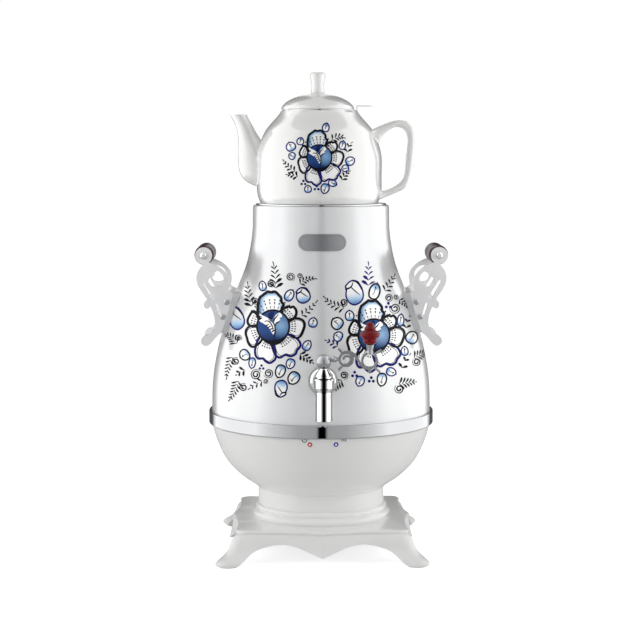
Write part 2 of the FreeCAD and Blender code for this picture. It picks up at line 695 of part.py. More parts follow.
def name_plate():
    """A blank oval badge bent to the body, with a raised rim."""
    near = -NECK_R - 20
    depth = 60
    blank = stadium(BADGE_WIDTH, BADGE_HEIGHT, near, depth, BADGE_Z)
    well = stadium(BADGE_WIDTH - 2 * BADGE_RIM, BADGE_HEIGHT - 2 * BADGE_RIM, near, depth, BADGE_Z)
    outer = lathe([(0, BADGE_Z - 15), badge_curve(BADGE_THICK), (0, BADGE_Z + 15)])
    floor = lathe([(0, BADGE_Z - 16), badge_curve(BADGE_THICK - BADGE_SINK), (0, BADGE_Z + 16)])
    back = lathe([(0, BADGE_Z - 17), badge_curve(TOUCH / 2), (0, BADGE_Z + 17)])
    rim = blank.cut(well).common(outer)
    plate = rim.fuse(well.common(floor)).cut(back)
    return plate.removeSplitter()


def badge_curve(grow):
    """The body's profile around the badge, moved outwards."""
    return [(r + grow, z) for r, z in BODY_OUTER if abs(z - BADGE_Z) < 45]


def heat_spreader():
    disc = ring(SPREADER_R, 0, SPREADER_Z, TANK_FLOOR_Z)
    for x, y in around(TIE_COUNT, TIE_CIRCLE_R, 90):
        disc = disc.cut(Part.makeCylinder(TIE_R + 0.5, 30, V(x, y, SPREADER_Z - 10)))
    return disc


def heater_ring(ring_r, tube_r, z, start):
    """An open ring of tube with a pin down from each end."""
    section = Part.Face(Part.Wire(Part.makeCircle(tube_r, V(ring_r, 0, z), V(0, 1, 0))))
    tube = section.revolve(V(0, 0, 0), UP, HEATER_TURN)
    pins = []
    for angle in (3, HEATER_TURN - 3):
        place = V(ring_r * math.cos(math.radians(angle)), ring_r * math.sin(math.radians(angle)), z)
        pins.append(rod(HEATER_PIN_R, place, place - V(0, 0, HEATER_PIN_LENGTH)))
    tube = fuse(tube, *pins)
    tube.rotate(V(0, 0, 0), UP, start)
    return tube


def boil_heater():
    return heater_ring(BOIL_RING_R, BOIL_TUBE_R, SPREADER_Z - BOIL_TUBE_R, 110)


def keep_warm_heater():
    return heater_ring(WARM_RING_R, WARM_TUBE_R, SPREADER_Z - WARM_TUBE_R, -70)


def sensor(x):
    """A round snap-disc sensor under the heater plate, with two blades."""
    can = lathe([(0, SPREADER_Z - SENSOR_HEIGHT), (SENSOR_R, SPREADER_Z - SENSOR_HEIGHT),
                 (SENSOR_R, SPREADER_Z - SENSOR_FLANGE), (SENSOR_FLANGE_R, SPREADER_Z - SENSOR_FLANGE),
                 (SENSOR_FLANGE_R, SPREADER_Z), (0, SPREADER_Z)], x)
    blades = [block(BLADE[0], BLADE[1], BLADE[2] + 1,
                    V(x, side * SENSOR_R * 0.5, SPREADER_Z - SENSOR_HEIGHT - BLADE[2] / 2 + 0.5))
              for side in (-1, 1)]
    return fuse(can, *blades)


def thermal_fuse():
    z = SPREADER_Z - FUSE_R
    barrel = rod(FUSE_R, V(-FUSE_LENGTH / 2, FUSE_Y, z), V(FUSE_LENGTH / 2, FUSE_Y, z))
    return fuse(barrel, rod(FUSE_R * 0.3, V(-FUSE_LENGTH, FUSE_Y, z), V(FUSE_LENGTH, FUSE_Y, z)))


def mounting_plate():
    plate = ring(PLATE_R, PLATE_HOLE_R, PLATE_Z, PLATE_Z + PLATE_THICK)
    for x, y in around(TIE_COUNT, TIE_CIRCLE_R, 90):
        plate = plate.cut(Part.makeCylinder(TIE_R + TOUCH, 30, V(x, y, PLATE_Z - 10)))
    return plate


def control_board():
    top = PLATE_Z + PLATE_THICK
    board = block(BOARD[0], BOARD[1], BOARD[2], V(0, BOARD_Y, top + BOARD_LEG + BOARD[2] / 2))
    legs = []
    for sx in (-1, 1):
        for sy in (-1, 1):
            x = sx * (BOARD[0] / 2 - 6)
            y = BOARD_Y + sy * (BOARD[1] / 2 - 6)
            legs.append(Part.makeCylinder(BOARD_LEG_R, BOARD_LEG, V(x, y, top)))
    return fuse(board, *legs)


def relay():
    z = PLATE_Z + PLATE_THICK + BOARD_LEG + BOARD[2]
    body = block(RELAY[0], RELAY[1], RELAY[2], V(-BOARD[0] / 4, BOARD_Y, z + RELAY[2] / 2))
    return body.makeFillet(1.0, [e for e in body.Edges if abs(e.CenterOfMass.z - z - RELAY[2] / 2) < 0.1])


def terminal_block():
    top = PLATE_Z + PLATE_THICK
    body = block(TERMINALS[0], TERMINALS[1], TERMINALS[2], V(0, TERMINALS_Y, top + TERMINALS[2] / 2))
    for place in terminal_places():
        body = body.cut(Part.makeCylinder(TERMINAL_SCREW_R + TOUCH, 7, V(place, TERMINALS_Y, top + TERMINALS[2] - 6)))
    return body


def terminal_places():
    step = TERMINALS[0] / TERMINAL_COUNT
    return [step * (index - (TERMINAL_COUNT - 1) / 2) for index in range(TERMINAL_COUNT)]


def terminal_screws():
    low = PLATE_Z + PLATE_THICK + TERMINALS[2] - 6
    screws = []
    for x in terminal_places():
        screw = Part.makeCylinder(TERMINAL_SCREW_R, 4.5, V(x, TERMINALS_Y, low))
        screws.append(screw.cut(block(2 * TERMINAL_SCREW_R + 1, 0.8, 1.6, V(x, TERMINALS_Y, low + 4.2))))
    return group(screws)


def lamp(side):
    """An indicator lens through the bowl's wall, with a domed front."""
    front = -math.sqrt(radius_at(BOWL_OUTER, LAMP_Z) ** 2 - LAMP_X ** 2)
    lens = rod(LAMP_R, V(side * LAMP_X, front - LAMP_PROUD, LAMP_Z), V(side * LAMP_X, LAMP_BOARD_Y - 0.8, LAMP_Z))
    tip = [e for e in lens.Edges if abs(e.CenterOfMass.y - front + LAMP_PROUD) < 0.01]
    return lens.makeFillet(LAMP_PROUD, tip)


def lamp_board():
    return block(LAMP_BOARD[0], LAMP_BOARD[1], LAMP_BOARD[2], V(0, LAMP_BOARD_Y, LAMP_Z))


def power_inlet():
    y = HOUSING_Y
    centre_z = SOCKET_Z
    flange = block(INLET_FLANGE[0], INLET_FLANGE[2], INLET_FLANGE[1], V(INLET_X, y + INLET_FLANGE[2] / 2, centre_z))
    flange = flange.makeFillet(2.0, [e for e in flange.Edges if abs(e.Length - INLET_FLANGE[2]) < 0.01])
    body = block(INLET[0], INLET[2], INLET[1], V(INLET_X, y - INLET[2] / 2, centre_z))
    recess = block(INLET_RECESS[0], INLET_RECESS[2], INLET_RECESS[1],
                   V(INLET_X, y + INLET_FLANGE[2] - INLET_RECESS[2] / 2, centre_z))
    inlet = flange.fuse(body).cut(recess)
    for x, rise in pin_places():
        slot = block(INLET_PIN[0] + TOUCH, INLET[2] * 2, INLET_PIN[1] + TOUCH, V(x, y - INLET[2], centre_z + rise))
        inlet = inlet.cut(slot)
    return inlet.removeSplitter()


def pin_places():
    return [(INLET_X - INLET_PIN_X, -INLET_PIN_RISE), (INLET_X, INLET_PIN_RISE), (INLET_X + INLET_PIN_X, -INLET_PIN_RISE)]


def inlet_pins():
    back = HOUSING_Y - INLET[2] - INLET_PIN_BACK
    return group([block(INLET_PIN[0], INLET_PIN[2], INLET_PIN[1], V(x, back + INLET_PIN[2] / 2, SOCKET_Z + rise))
                  for x, rise in pin_places()])


def switch_frame():
    flange = block(SWITCH_FLANGE[0], SWITCH_FLANGE[2], SWITCH_FLANGE[1],
                   V(SWITCH_X, HOUSING_Y + SWITCH_FLANGE[2] / 2, SOCKET_Z))
    flange = flange.makeFillet(1.5, [e for e in flange.Edges if abs(e.Length - SWITCH_FLANGE[2]) < 0.01])
    body = block(SWITCH[0], SWITCH[2], SWITCH[1], V(SWITCH_X, HOUSING_Y - SWITCH[2] / 2, SOCKET_Z))
    room = block(SWITCH[0] - 2 * SWITCH_WALL, SWITCH[2] + 2, SWITCH[1] - 2 * SWITCH_WALL,
                 V(SWITCH_X, HOUSING_Y - SWITCH[2] / 2 + SWITCH_WALL + 1, SOCKET_Z))
    frame = flange.fuse(body).cut(room)
    pivot = rod(ROCKER_PIN_R + RUNNING, V(SWITCH_X - 20, ROCKER_PIVOT_Y, SOCKET_Z),
                V(SWITCH_X + 20, ROCKER_PIVOT_Y, SOCKET_Z))
    return frame.cut(pivot).removeSplitter()


def switch_rocker():
    """The rocker at rest, tipped to its off side. It turns about the line of its two pins."""
    half = SWITCH[0] / 2 - SWITCH_WALL - ROCKER_GAP
    outline = [V(SWITCH_X - half, ROCKER_PIVOT_Y + y, SOCKET_Z + z) for y, z in
               [(-ROCKER_BELOW, -ROCKER_HALF * 0.6), (ROCKER_RISE, -ROCKER_HALF), (ROCKER_DIP, 0),
                (ROCKER_RISE, ROCKER_HALF), (-ROCKER_BELOW, ROCKER_HALF * 0.6)]]
    rocker = face(outline).extrude(V(2 * half, 0, 0))
    pin_half = SWITCH[0] / 2 - 0.2
    rocker = rocker.fuse(rod(ROCKER_PIN_R, V(SWITCH_X - pin_half, ROCKER_PIVOT_Y, SOCKET_Z),
                             V(SWITCH_X + pin_half, ROCKER_PIVOT_Y, SOCKET_Z))).removeSplitter()
    rocker.rotate(V(SWITCH_X, ROCKER_PIVOT_Y, SOCKET_Z), V(1, 0, 0), -ROCKER_TILT)
    return rocker


def top_cover():
    skirt_r = NECK_R - BODY_LIP - LIFT_GAP
    low = COVER_Z + LIFT_GAP
    top = POT_Z - LIFT_GAP
    path = [(STEAM_HOLE_R, low), (skirt_r - 1.5, low), (skirt_r - 1.5, COVER_Z - COVER_SKIRT),
            (skirt_r, COVER_Z - COVER_SKIRT), (skirt_r, low), (COVER_R, low), (COVER_R, top - 0.3),
            (COVER_R - 0.3, top), (COVER_RING_R + 1.5, top), (COVER_RING_R + 1.0, top + COVER_RING_RISE),
            (COVER_RING_R - 1.0, top + COVER_RING_RISE), (COVER_RING_R - 1.5, top),
            (STEAM_HOLE_R, top)]
    return lathe(path)


def saddle_gasket(radius, near_y, far_y):
    """A round seal across the pipe's axis, with the hole for the shank."""
    disc = rod(radius, V(0, near_y, TAP_PIPE_Z), V(0, far_y, TAP_PIPE_Z))
    return disc.cut(rod(TAP_SHANK_R + TOUCH, V(0, near_y - 1, TAP_PIPE_Z), V(0, far_y + 1, TAP_PIPE_Z)))


def tap_gasket():
    return saddle_gasket(TAP_GASKET_R, TAP_GASKET_Y, TAP_GASKET_Y + 9).cut(body_solid())


def tap_inner_seal():
    return saddle_gasket(TAP_NUT_R, -BOWL_R, TAP_SEAL_Y).common(body_room())


def tap_rose():
    """The round escutcheon between the tap and the body."""
    back = TAP_GASKET_Y
    turned = lathe([(TAP_PIPE_R + TOUCH, 0), (TAP_ROSE_R, 0), (TAP_ROSE_R, TAP_ROSE_THICK * 0.35),
                    (TAP_ROSE_R - 3.5, TAP_ROSE_THICK), (TAP_PIPE_R + TOUCH, TAP_ROSE_THICK)])
    turned.rotate(V(0, 0, 0), V(1, 0, 0), 90)
    turned.translate(V(0, back, TAP_PIPE_Z))
    return turned


def tap_body():
    shoulder = [(TAP_SPOUT_R, TAP_SHOULDER_Z), (TAP_SPOUT_R - 0.6, TAP_SHOULDER_Z + 4.4),
                (TAP_SPOUT_R - 3.0, TAP_SHOULDER_Z + 7.6), (TAP_SPOUT_R - 3.6, TAP_BARREL_LOW_Z)]
    spout = lathe([(0, TAP_SPOUT_Z), (TAP_SPOUT_R - 0.5, TAP_SPOUT_Z), (TAP_SPOUT_R, TAP_SPOUT_Z + 0.6),
                   shoulder, (0, TAP_BARREL_LOW_Z)], 0, TAP_Y)
    barrel = lathe([(0, TAP_BARREL_LOW_Z - 3), (TAP_SPOUT_R - 1.5, TAP_BARREL_LOW_Z - 3),
                    (TAP_BARREL_R - 0.8, TAP_BARREL_LOW_Z), (TAP_BARREL_R, TAP_BARREL_LOW_Z + 1),
                    (TAP_BARREL_R, TAP_BARREL_HIGH_Z - 1), (TAP_BARREL_R - 1, TAP_BARREL_HIGH_Z),
                    (0, TAP_BARREL_HIGH_Z)], 0, TAP_Y)
    pipe = rod(TAP_PIPE_R, V(0, TAP_Y, TAP_PIPE_Z), V(0, TAP_GASKET_Y, TAP_PIPE_Z))
    shank_end = TAP_SEAL_Y + TAP_NUT_THICK + 4
    shank = rod(TAP_SHANK_R, V(0, TAP_GASKET_Y - 2, TAP_PIPE_Z), V(0, shank_end, TAP_PIPE_Z))
    body = fuse(spout, barrel, pipe, shank)
    water = rod(TAP_BORE_R, V(0, TAP_Y, TAP_PIPE_Z), V(0, shank_end + 1, TAP_PIPE_Z))
    seat = Part.makeCylinder(PLUG_R + RUNNING, TAP_BARREL_HIGH_Z - PLUG_LOW_Z + 1, V(0, TAP_Y, PLUG_LOW_Z - 0.5))
    outlet = Part.makeCylinder(TAP_SPOUT_BORE_R, PLUG_LOW_Z - TAP_SPOUT_Z + 5, V(0, TAP_Y, TAP_SPOUT_Z - 4))
    return body.cut(water).cut(seat).cut(outlet).removeSplitter()


def tap_nut():
    low = TAP_SEAL_Y
    turned = hexagon(TAP_NUT_R, 0, TAP_NUT_THICK, 0, 0).cut(Part.makeCylinder(TAP_SHANK_R + TOUCH / 2, 20, V(0, 0, -5)))
    turned.rotate(V(0, 0, 0), V(1, 0, 0), -90)
    turned.translate(V(0, low, TAP_PIPE_Z))
    return turned


def tap_bonnet():
    low = TAP_BARREL_HIGH_Z
    inner = STEM_R + RUNNING
    return lathe([(inner, low), (BONNET_R - 1.0, low), (BONNET_R, low + 1.0), (BONNET_R, low + 2.6),
                  (BONNET_TOP_R, BONNET_TOP_Z), (inner, BONNET_TOP_Z)], 0, TAP_Y)


def seal_levels():
    """Height of the plug's two grooves, under and over its port."""
    return [PLUG_LOW_Z + 2.0, PLUG_TOP_Z - 2.0 - PLUG_SEAL]


def tap_plug():
    """The turning core. Its side port faces away from the tank at rest, so the tap is shut."""
    plug = lathe([(0, PLUG_LOW_Z), (PLUG_R, PLUG_LOW_Z), (PLUG_R, PLUG_TOP_Z), (STEM_R, PLUG_TOP_Z),
                  (STEM_R, STEM_TOP_Z), (0, STEM_TOP_Z)], 0, TAP_Y)
    for z in seal_levels():
        plug = plug.cut(ring(PLUG_R + 1, PLUG_R - PLUG_GROOVE, z - 0.2, z + PLUG_SEAL + 0.2, 0, TAP_Y))
    down = Part.makeCylinder(PLUG_PORT_R, TAP_PIPE_Z - PLUG_LOW_Z + 1, V(0, TAP_Y, PLUG_LOW_Z - 1))
    side = rod(PLUG_PORT_R - 0.6, V(0, TAP_Y, TAP_PIPE_Z), V(-PLUG_R - 1, TAP_Y, TAP_PIPE_Z))
    pin = rod(KEY_PIN_R + TOUCH / 2, V(0, TAP_Y - 20, HUB_Z), V(0, TAP_Y + 20, HUB_Z))
    return plug.cut(down).cut(side).cut(pin)


def tap_plug_seals():
    outer = PLUG_R + RUNNING / 3
    return group([ring(outer, PLUG_R - PLUG_GROOVE + TOUCH, z, z + PLUG_SEAL, 0, TAP_Y) for z in seal_levels()])


def key_ring(place, hole):
    """A flat ring of the key, standing in the plane of the key."""
    x, z, radius = place
    outer = rod(radius, V(x, TAP_Y - KEY_THICK / 2, z), V(x, TAP_Y + KEY_THICK / 2, z))
    return outer.cut(rod(hole, V(x, TAP_Y - KEY_THICK, z), V(x, TAP_Y + KEY_THICK, z)))


def key_bar(points, width):
    """A flat bar along a curve in the plane of the key, with round ends. Its outline is short straight runs."""
    curve = Part.BSplineCurve()
    curve.interpolate(Points=[V(x, 0, z) for x, z in points])
    count = KEY_RUNS * (len(points) - 1)
    sides = ([], [])
    for index in range(count + 1):
        share = curve.FirstParameter + (curve.LastParameter - curve.FirstParameter) * index / count
        place = curve.value(share)
        along = curve.tangent(share)[0]
        across = V(-along.z, 0, along.x) * (width / 2)
        sides[0].append(place + across)
        sides[1].append(place - across)
    ends = []
    for near, far in ((sides[0][-1], sides[1][-1]), (sides[1][0], sides[0][0])):
        middle = (near + far) * 0.5
        reach = near - middle
        turns = [FreeCAD.Rotation(V(0, 1, 0), 180.0 * step / KEY_RUNS) for step in range(1, KEY_RUNS)]
        ends.append([middle + turn.multVec(reach) for turn in turns])
    outline = sides[0] + ends[0] + sides[1][::-1] + ends[1]
    base = V(0, TAP_Y - KEY_BAR_THICK / 2, 0)
    return face([p + base for p in outline]).extrude(V(0, KEY_BAR_THICK, 0))


def hub_ball(low):
    """The round hub on the stem, flat underneath at a level."""
    start = math.asin((low - HUB_Z) / HUB_R)
    angles = [start + (math.pi / 2 - start) * step / HUB_STEPS for step in range(HUB_STEPS)]
    curve = [(HUB_R * math.cos(a), HUB_Z + HUB_R * math.sin(a)) for a in angles]
    return lathe([(0, low), curve + [(0, HUB_Z + HUB_R)]], 0, TAP_Y)


def key_bead(x, z):
    """A small round collar on the key's neck."""
    half = KEY_BEAD_HALF
    turned = lathe([(0, -half), [(KEY_BAR, -half), (KEY_BEAD_R, 0), (KEY_BAR, half)], (0, half)])
    turned.rotate(V(0, 0, 0), V(0, 1, 0), 90)
    turned.translate(V(x, TAP_Y, z))
    return turned


def tap_key():
    """The cast key: a hub on the stem and two scrolls side by side, with a post for the knob."""
    low = BONNET_TOP_Z + LIFT_GAP
    lx, lz, lr = KEY_LEFT
    rx, rz, rr = KEY_RIGHT
    neck = rod(KEY_BAR, V(HUB_R / 2, TAP_Y, lz), V(lx - lr + KEY_BAR / 2, TAP_Y, lz))
    curl = key_bar([(lx - 1, lz - 5), (lx + 3.4, lz - 2.4), (lx + 3.6, lz + 1.8), (lx, lz + 2.8), (lx - 2.4, lz + 0.6)],
                   KEY_BAR)
    strap = key_bar([(lx - 2, lz + lr - 1), (lx + 6, lz + 5.2), ((lx + rx) / 2, (lz + rz) / 2), (rx - 6, rz - 5.4),
                     (rx + 2, rz - rr + 1)], KEY_BAR * 1.2)
    spurs = [key_bar([(lx - 3, lz + lr - 1.4), (lx - 6.6, lz + lr + 2.2)], KEY_BAR),
             key_bar([(lx - 3, lz - lr + 1.4), (lx - 6.6, lz - lr - 2.4)], KEY_BAR),
             key_bar([(rx + 4, rz + rr - 2), (rx + 10, rz + rr + 1.6)], KEY_BAR),
             key_bar([(rx + 4, rz - rr + 2), (rx + 9, rz - rr - 2.6)], KEY_BAR),
             key_bar([(rx, rz - rr + 1), (rx, rz - rr - 2.6)], KEY_BAR * 1.4)]
    post_low = rz + rr - KEY_BAR
    post = lathe([(0, post_low), (3.6, post_low), (2.8, rz + rr + 1.5), (3.6, KNOB_LOW_Z), (0, KNOB_LOW_Z)],
                 KNOB_X, TAP_Y)
    key = fuse(hub_ball(low), neck, key_bead((HUB_R + lx - lr) / 2 - 0.9, lz), key_ring(KEY_LEFT, lr - KEY_BAR),
               key_ring(KEY_RIGHT, rr - KEY_BAR), curl, strap, post, *spurs)
    stem = Part.makeCylinder(STEM_R + TOUCH / 2, STEM_TOP_Z + TOUCH - low + 1, V(0, TAP_Y, low - 1))
    pin = rod(KEY_PIN_R + TOUCH / 2, V(0, TAP_Y - 20, HUB_Z), V(0, TAP_Y + 20, HUB_Z))
    stud = Part.makeCylinder(KNOB_STUD_R + TOUCH / 2, KNOB_STUD_IN + 1, V(KNOB_X, TAP_Y, KNOB_LOW_Z - KNOB_STUD_IN))
    return key.cut(stem).cut(pin).cut(stud).removeSplitter()


def key_pin():
    reach = HUB_R - 0.3
    return rod(KEY_PIN_R, V(0, TAP_Y - reach, HUB_Z), V(0, TAP_Y + reach, HUB_Z))


def knob_stud():
    return Part.makeCylinder(KNOB_STUD_R, KNOB_STUD_IN + KNOB_HEIGHT * 0.6,
                             V(KNOB_X, TAP_Y, KNOB_LOW_Z - KNOB_STUD_IN))


def tap_knob():
    curve = [(r, KNOB_LOW_Z + KNOB_HEIGHT * rise) for r, rise in KNOB_CURVE]
    knob = lathe([(0, KNOB_LOW_Z), curve, (0, KNOB_LOW_Z + KNOB_HEIGHT)], KNOB_X, TAP_Y)
    bore = Part.makeCylinder(KNOB_STUD_R + TOUCH / 2, KNOB_HEIGHT * 0.6 + 1.2, V(KNOB_X, TAP_Y, KNOB_LOW_Z - 1))
    return knob.cut(bore)


def bracket_sheet(y):
    """The scrolled outline of one handle bracket, cut from plate, on the left side."""
    outline = [[V(-HANDLE_R - out, y, z) for out, z in stretch] for stretch in BRACKET_OUTLINE]
    plate = face(outline).extrude(V(0, BRACKET_THICK, 0))
    window = [[V(-HANDLE_R - out, y - 1, z) for out, z in stretch] for stretch in BRACKET_WINDOW]
    plate = plate.cut(face(window).extrude(V(0, BRACKET_THICK + 2, 0)))
    for (out0, z0), (out1, z1), width in BRACKET_SLOTS:
        along = V(out1 - out0, 0, z1 - z0)
        across = V(-(z1 - z0), 0, out1 - out0).normalize() * (width / 2)
        start = V(-HANDLE_R - out0, y - 1, z0)
        end = V(-HANDLE_R - out1, y - 1, z1)
        across = V(-across.x, 0, across.z)
        slot = face([start + across, end + across, end - across, start - across]).extrude(V(0, BRACKET_THICK + 2, 0))
        ends = [rod(width / 2, p, p + V(0, BRACKET_THICK + 2, 0)) for p in (start, end)]
        plate = plate.cut(fuse(slot, *ends))
    boss = rod(BOSS_R, V(-HANDLE_R - GRIP_OUT, y, GRIP_Z), V(-HANDLE_R - GRIP_OUT, y + BRACKET_THICK, GRIP_Z))
    return fuse(plate, boss)


def handle_bracket(front):
    y = -BRACKET_Y - BRACKET_THICK if front else BRACKET_Y
    plate = bracket_sheet(y)
    middle = y + BRACKET_THICK / 2
    hole = rod(GRIP_BORE_R + TOUCH, V(-HANDLE_R - GRIP_OUT, middle - 10, GRIP_Z), V(-HANDLE_R - GRIP_OUT, middle + 10, GRIP_Z))
    plate = plate.cut(hole)
    for out, z in HANDLE_SCREWS:
        plate = plate.cut(rod(SCREW_R + TOUCH, V(-HANDLE_R - out, middle - 10, z), V(-HANDLE_R - out, middle + 10, z)))
    return plate


def handle_saddle():
    """The block between the two brackets of a handle, shaped to the body."""
    low = SADDLE_LOW_Z
    high = SADDLE_HIGH_Z
    low_r = radius_at(BODY_OUTER, low) + SADDLE_REACH
    high_r = radius_at(BODY_OUTER, high) + SADDLE_REACH * 0.7
    outline = [V(-low_r + SADDLE_INSIDE, -BRACKET_Y, low), V(-low_r, -BRACKET_Y, low), V(-high_r, -BRACKET_Y, high),
               V(-high_r + SADDLE_INSIDE, -BRACKET_Y, high)]
    saddle = face(outline).extrude(V(0, 2 * BRACKET_Y, 0)).cut(body_solid())
    for out, z in HANDLE_SCREWS:
        for side in (-1, 1):
            deep = BRACKET_Y - SCREW_LENGTH + BRACKET_THICK - 0.5
            saddle = saddle.cut(rod(SCREW_R + TOUCH, V(-HANDLE_R - out, side * (BRACKET_Y + 1), z), V(-HANDLE_R - out, side * deep, z)))
    return saddle


def handle_screws():
    screws = []
    face_y = BRACKET_Y + BRACKET_THICK
    for out, z in HANDLE_SCREWS:
        screw = pan_screw(SCREW_LENGTH)
        screw.rotate(V(0, 0, 0), V(1, 0, 0), -90)
        screw.translate(V(-HANDLE_R - out, -face_y, z))
        screws += [screw, mirror_y(screw)]
    return group(screws)


def grip():
    half = BRACKET_Y
    swell = [(GRIP_R - 1.0, -half), (GRIP_R - 0.1, -half * 0.86), (GRIP_R, -half * 0.5), (GRIP_R - 0.7, 0),
             (GRIP_R, half * 0.5), (GRIP_R - 0.1, half * 0.86), (GRIP_R - 1.0, half)]
    turned = lathe([(GRIP_BORE_R + TOUCH, -half), swell, (GRIP_BORE_R + TOUCH, half)])
    turned.rotate(V(0, 0, 0), V(1, 0, 0), 90)
    turned.translate(V(-HANDLE_R - GRIP_OUT, 0, GRIP_Z))
    return turned


def grip_rod():
    """The stud through a grip, with a domed nut on each bracket."""
    half = BRACKET_Y + BRACKET_THICK
    end = half + GRIP_NUT_HEIGHT
    turned = lathe([(0, -end), (GRIP_NUT_R * 0.55, -end), (GRIP_NUT_R, -half - 0.4), (GRIP_NUT_R, -half),
                    (GRIP_BORE_R, -half), (GRIP_BORE_R, half), (GRIP_NUT_R, half), (GRIP_NUT_R, half + 0.4),
                    (GRIP_NUT_R * 0.55, end), (0, end)])
    turned.rotate(V(0, 0, 0), V(1, 0, 0), 90)
    turned.translate(V(-HANDLE_R - GRIP_OUT, 0, GRIP_Z))
    return turned


def pot_outer():
    curve = bent(POT_CURVE, POT_Z, POT_TOP_Z, POT_BASE_R, POT_BELLY_R)
    shoulder = bent(POT_SHOULDER, POT_Z, POT_TOP_Z, POT_MOUTH_R, POT_BELLY_R)
    return curve + shoulder


def spout(wall, extra):
    """The tapering spout on the left of the pot, less one wall."""
    wires = []
    for rise, near, far, half_y in SPOUT_SECTIONS:
        lift = extra if rise == SPOUT_SECTIONS[-1][0] else (wall if rise == SPOUT_SECTIONS[0][0] else 0)
        centre = -(near + far) / 2
        wires.append(section(POT_X + centre, POT_Z + rise + lift, (far - near) / 2 - wall, half_y - wall))
    return Part.makeLoft(wires, True, False)


def section(x, z, half_x, half_y):
    """A level oval through eight points, each starting on +X, so that a loft does not twist."""
    points = [V(x + half_x * math.cos(math.radians(a)), half_y * math.sin(math.radians(a)), z)
              for a in range(0, 360, 45)]
    curve = Part.BSplineCurve()
    curve.interpolate(Points=points, PeriodicFlag=True)
    return Part.Wire(curve.toShape())


def pot_handle():
    half = POT_HANDLE_WIDTH / 2
    outer = [V(POT_X + out, -half, POT_Z + rise) for out, rise in POT_HANDLE_OUTER]
    inner = [V(POT_X + out, -half, POT_Z + rise) for out, rise in POT_HANDLE_INNER]
    bar = face([outer, inner]).extrude(V(0, POT_HANDLE_WIDTH, 0))
    long_edges = [e for e in bar.Edges if e.Length > 60]
    return bar.makeFillet(POT_HANDLE_ROUND, long_edges)


def teapot_body():
    outer = pot_outer()
    foot = POT_FOOT_WIDTH
    inner = [(r, z) for r, z in inset(outer, POT_WALL) if z > POT_Z + POT_FOOT_RISE + POT_WALL + 1]
    inner[-1] = (POT_MOUTH_R - POT_WALL, POT_TOP_Z + 1)
    floor = POT_Z + POT_FOOT_RISE + POT_WALL
    room = lathe([(0, floor), [(inner[0][0] - 6, floor), (inner[0][0] - 1.2, floor + 2.0)] + inner,
                  (0, POT_TOP_Z + 1)], POT_X)
    solid = lathe([(0, POT_Z + POT_FOOT_RISE), (outer[0][0] - foot, POT_Z + POT_FOOT_RISE),
                   (outer[0][0] - foot + 1, POT_Z), outer, (0, POT_TOP_Z)], POT_X)
    pot = solid.fuse(spout(0, 0)).fuse(pot_handle())
    return pot.cut(room).cut(spout(SPOUT_WALL, 1)).removeSplitter()


def infuser_basket():
    """A steel cup in the pot's mouth, with slots, a flange and a tab to lift it by."""
    top = POT_TOP_Z + LIFT_GAP
    low = top - BASKET_DEPTH
    wall = BASKET_WALL
    cup = lathe([(0, low), (BASKET_R, low), (BASKET_R, top), (BASKET_FLANGE_R, top), (BASKET_FLANGE_R, top + wall),
                 (BASKET_R - wall, top + wall), (BASKET_R - wall, low + wall), (0, low + wall)], POT_X)
    riser = block(wall, TAB_WIDTH, TAB_RISE + wall, V(POT_X + BASKET_FLANGE_R + 0.6, 0, top + (TAB_RISE + wall) / 2))
    foot = block(2.2, TAB_WIDTH, wall, V(POT_X + BASKET_FLANGE_R, 0, top + wall / 2))
    tab = block(TAB_LENGTH, TAB_WIDTH, wall, V(POT_X + BASKET_FLANGE_R + 0.3 + TAB_LENGTH / 2, 0, top + TAB_RISE + wall / 2))
    corners = [e for e in tab.Edges if abs(e.Length - wall) < 0.01 and e.CenterOfMass.x > POT_X + BASKET_FLANGE_R + 5]
    tab = tab.makeFillet(TAB_WIDTH * 0.4, corners)
    cup = fuse(cup, foot, riser, tab)
    for angle in range(SLOT_COUNT):
        turn = 360.0 / SLOT_COUNT * angle
        slot = block(6, 2 * SLOT_R, SLOT_LENGTH, V(BASKET_R, 0, low + 8 + SLOT_LENGTH / 2))
        slot.rotate(V(0, 0, 0), UP, turn)
        slot.translate(V(POT_X, 0, 0))
        cup = cup.cut(slot)
    return cup.removeSplitter()


def teapot_lid():
    base = POT_TOP_Z + BASKET_WALL + 2 * LIFT_GAP
    outer = [(LID_R * swell, base + 1.0 + LID_RISE * rise) for swell, rise in LID_CURVE]
    lower = [(r, z) for r, z in reversed(inset(outer[2:-1], LID_WALL)) if z > base + 1]
    skirt = LID_SKIRT_R
    neck = LID_KNOB_NECK_R
    head = outer[-1][1]
    knob = [(neck, head + 1.0), (neck + 0.2, head + LID_KNOB_HEIGHT * 0.3), (LID_KNOB_R - 0.3, head + LID_KNOB_HEIGHT * 0.72),
            (LID_KNOB_R, head + LID_KNOB_HEIGHT * 0.88), (LID_KNOB_R - 1.4, head + LID_KNOB_HEIGHT * 0.97)]
    crown = [(LID_KNOB_R - 1.4, head + LID_KNOB_HEIGHT * 0.97), (2.5, head + LID_KNOB_HEIGHT), (0, head + LID_KNOB_HEIGHT)]
    path = [(skirt, base), (LID_R - 0.6, base), (LID_R, base + 0.6), outer, knob, crown,
            (0, lower[0][1]), [p for p in lower if p[0] < skirt - 5], (skirt - LID_WALL, base + 3.0),
            (skirt - LID_WALL, base - LID_SKIRT), (skirt - 0.5, base - LID_SKIRT), (skirt, base - LID_SKIRT + 0.6)]
    return lathe(path, LID_X)


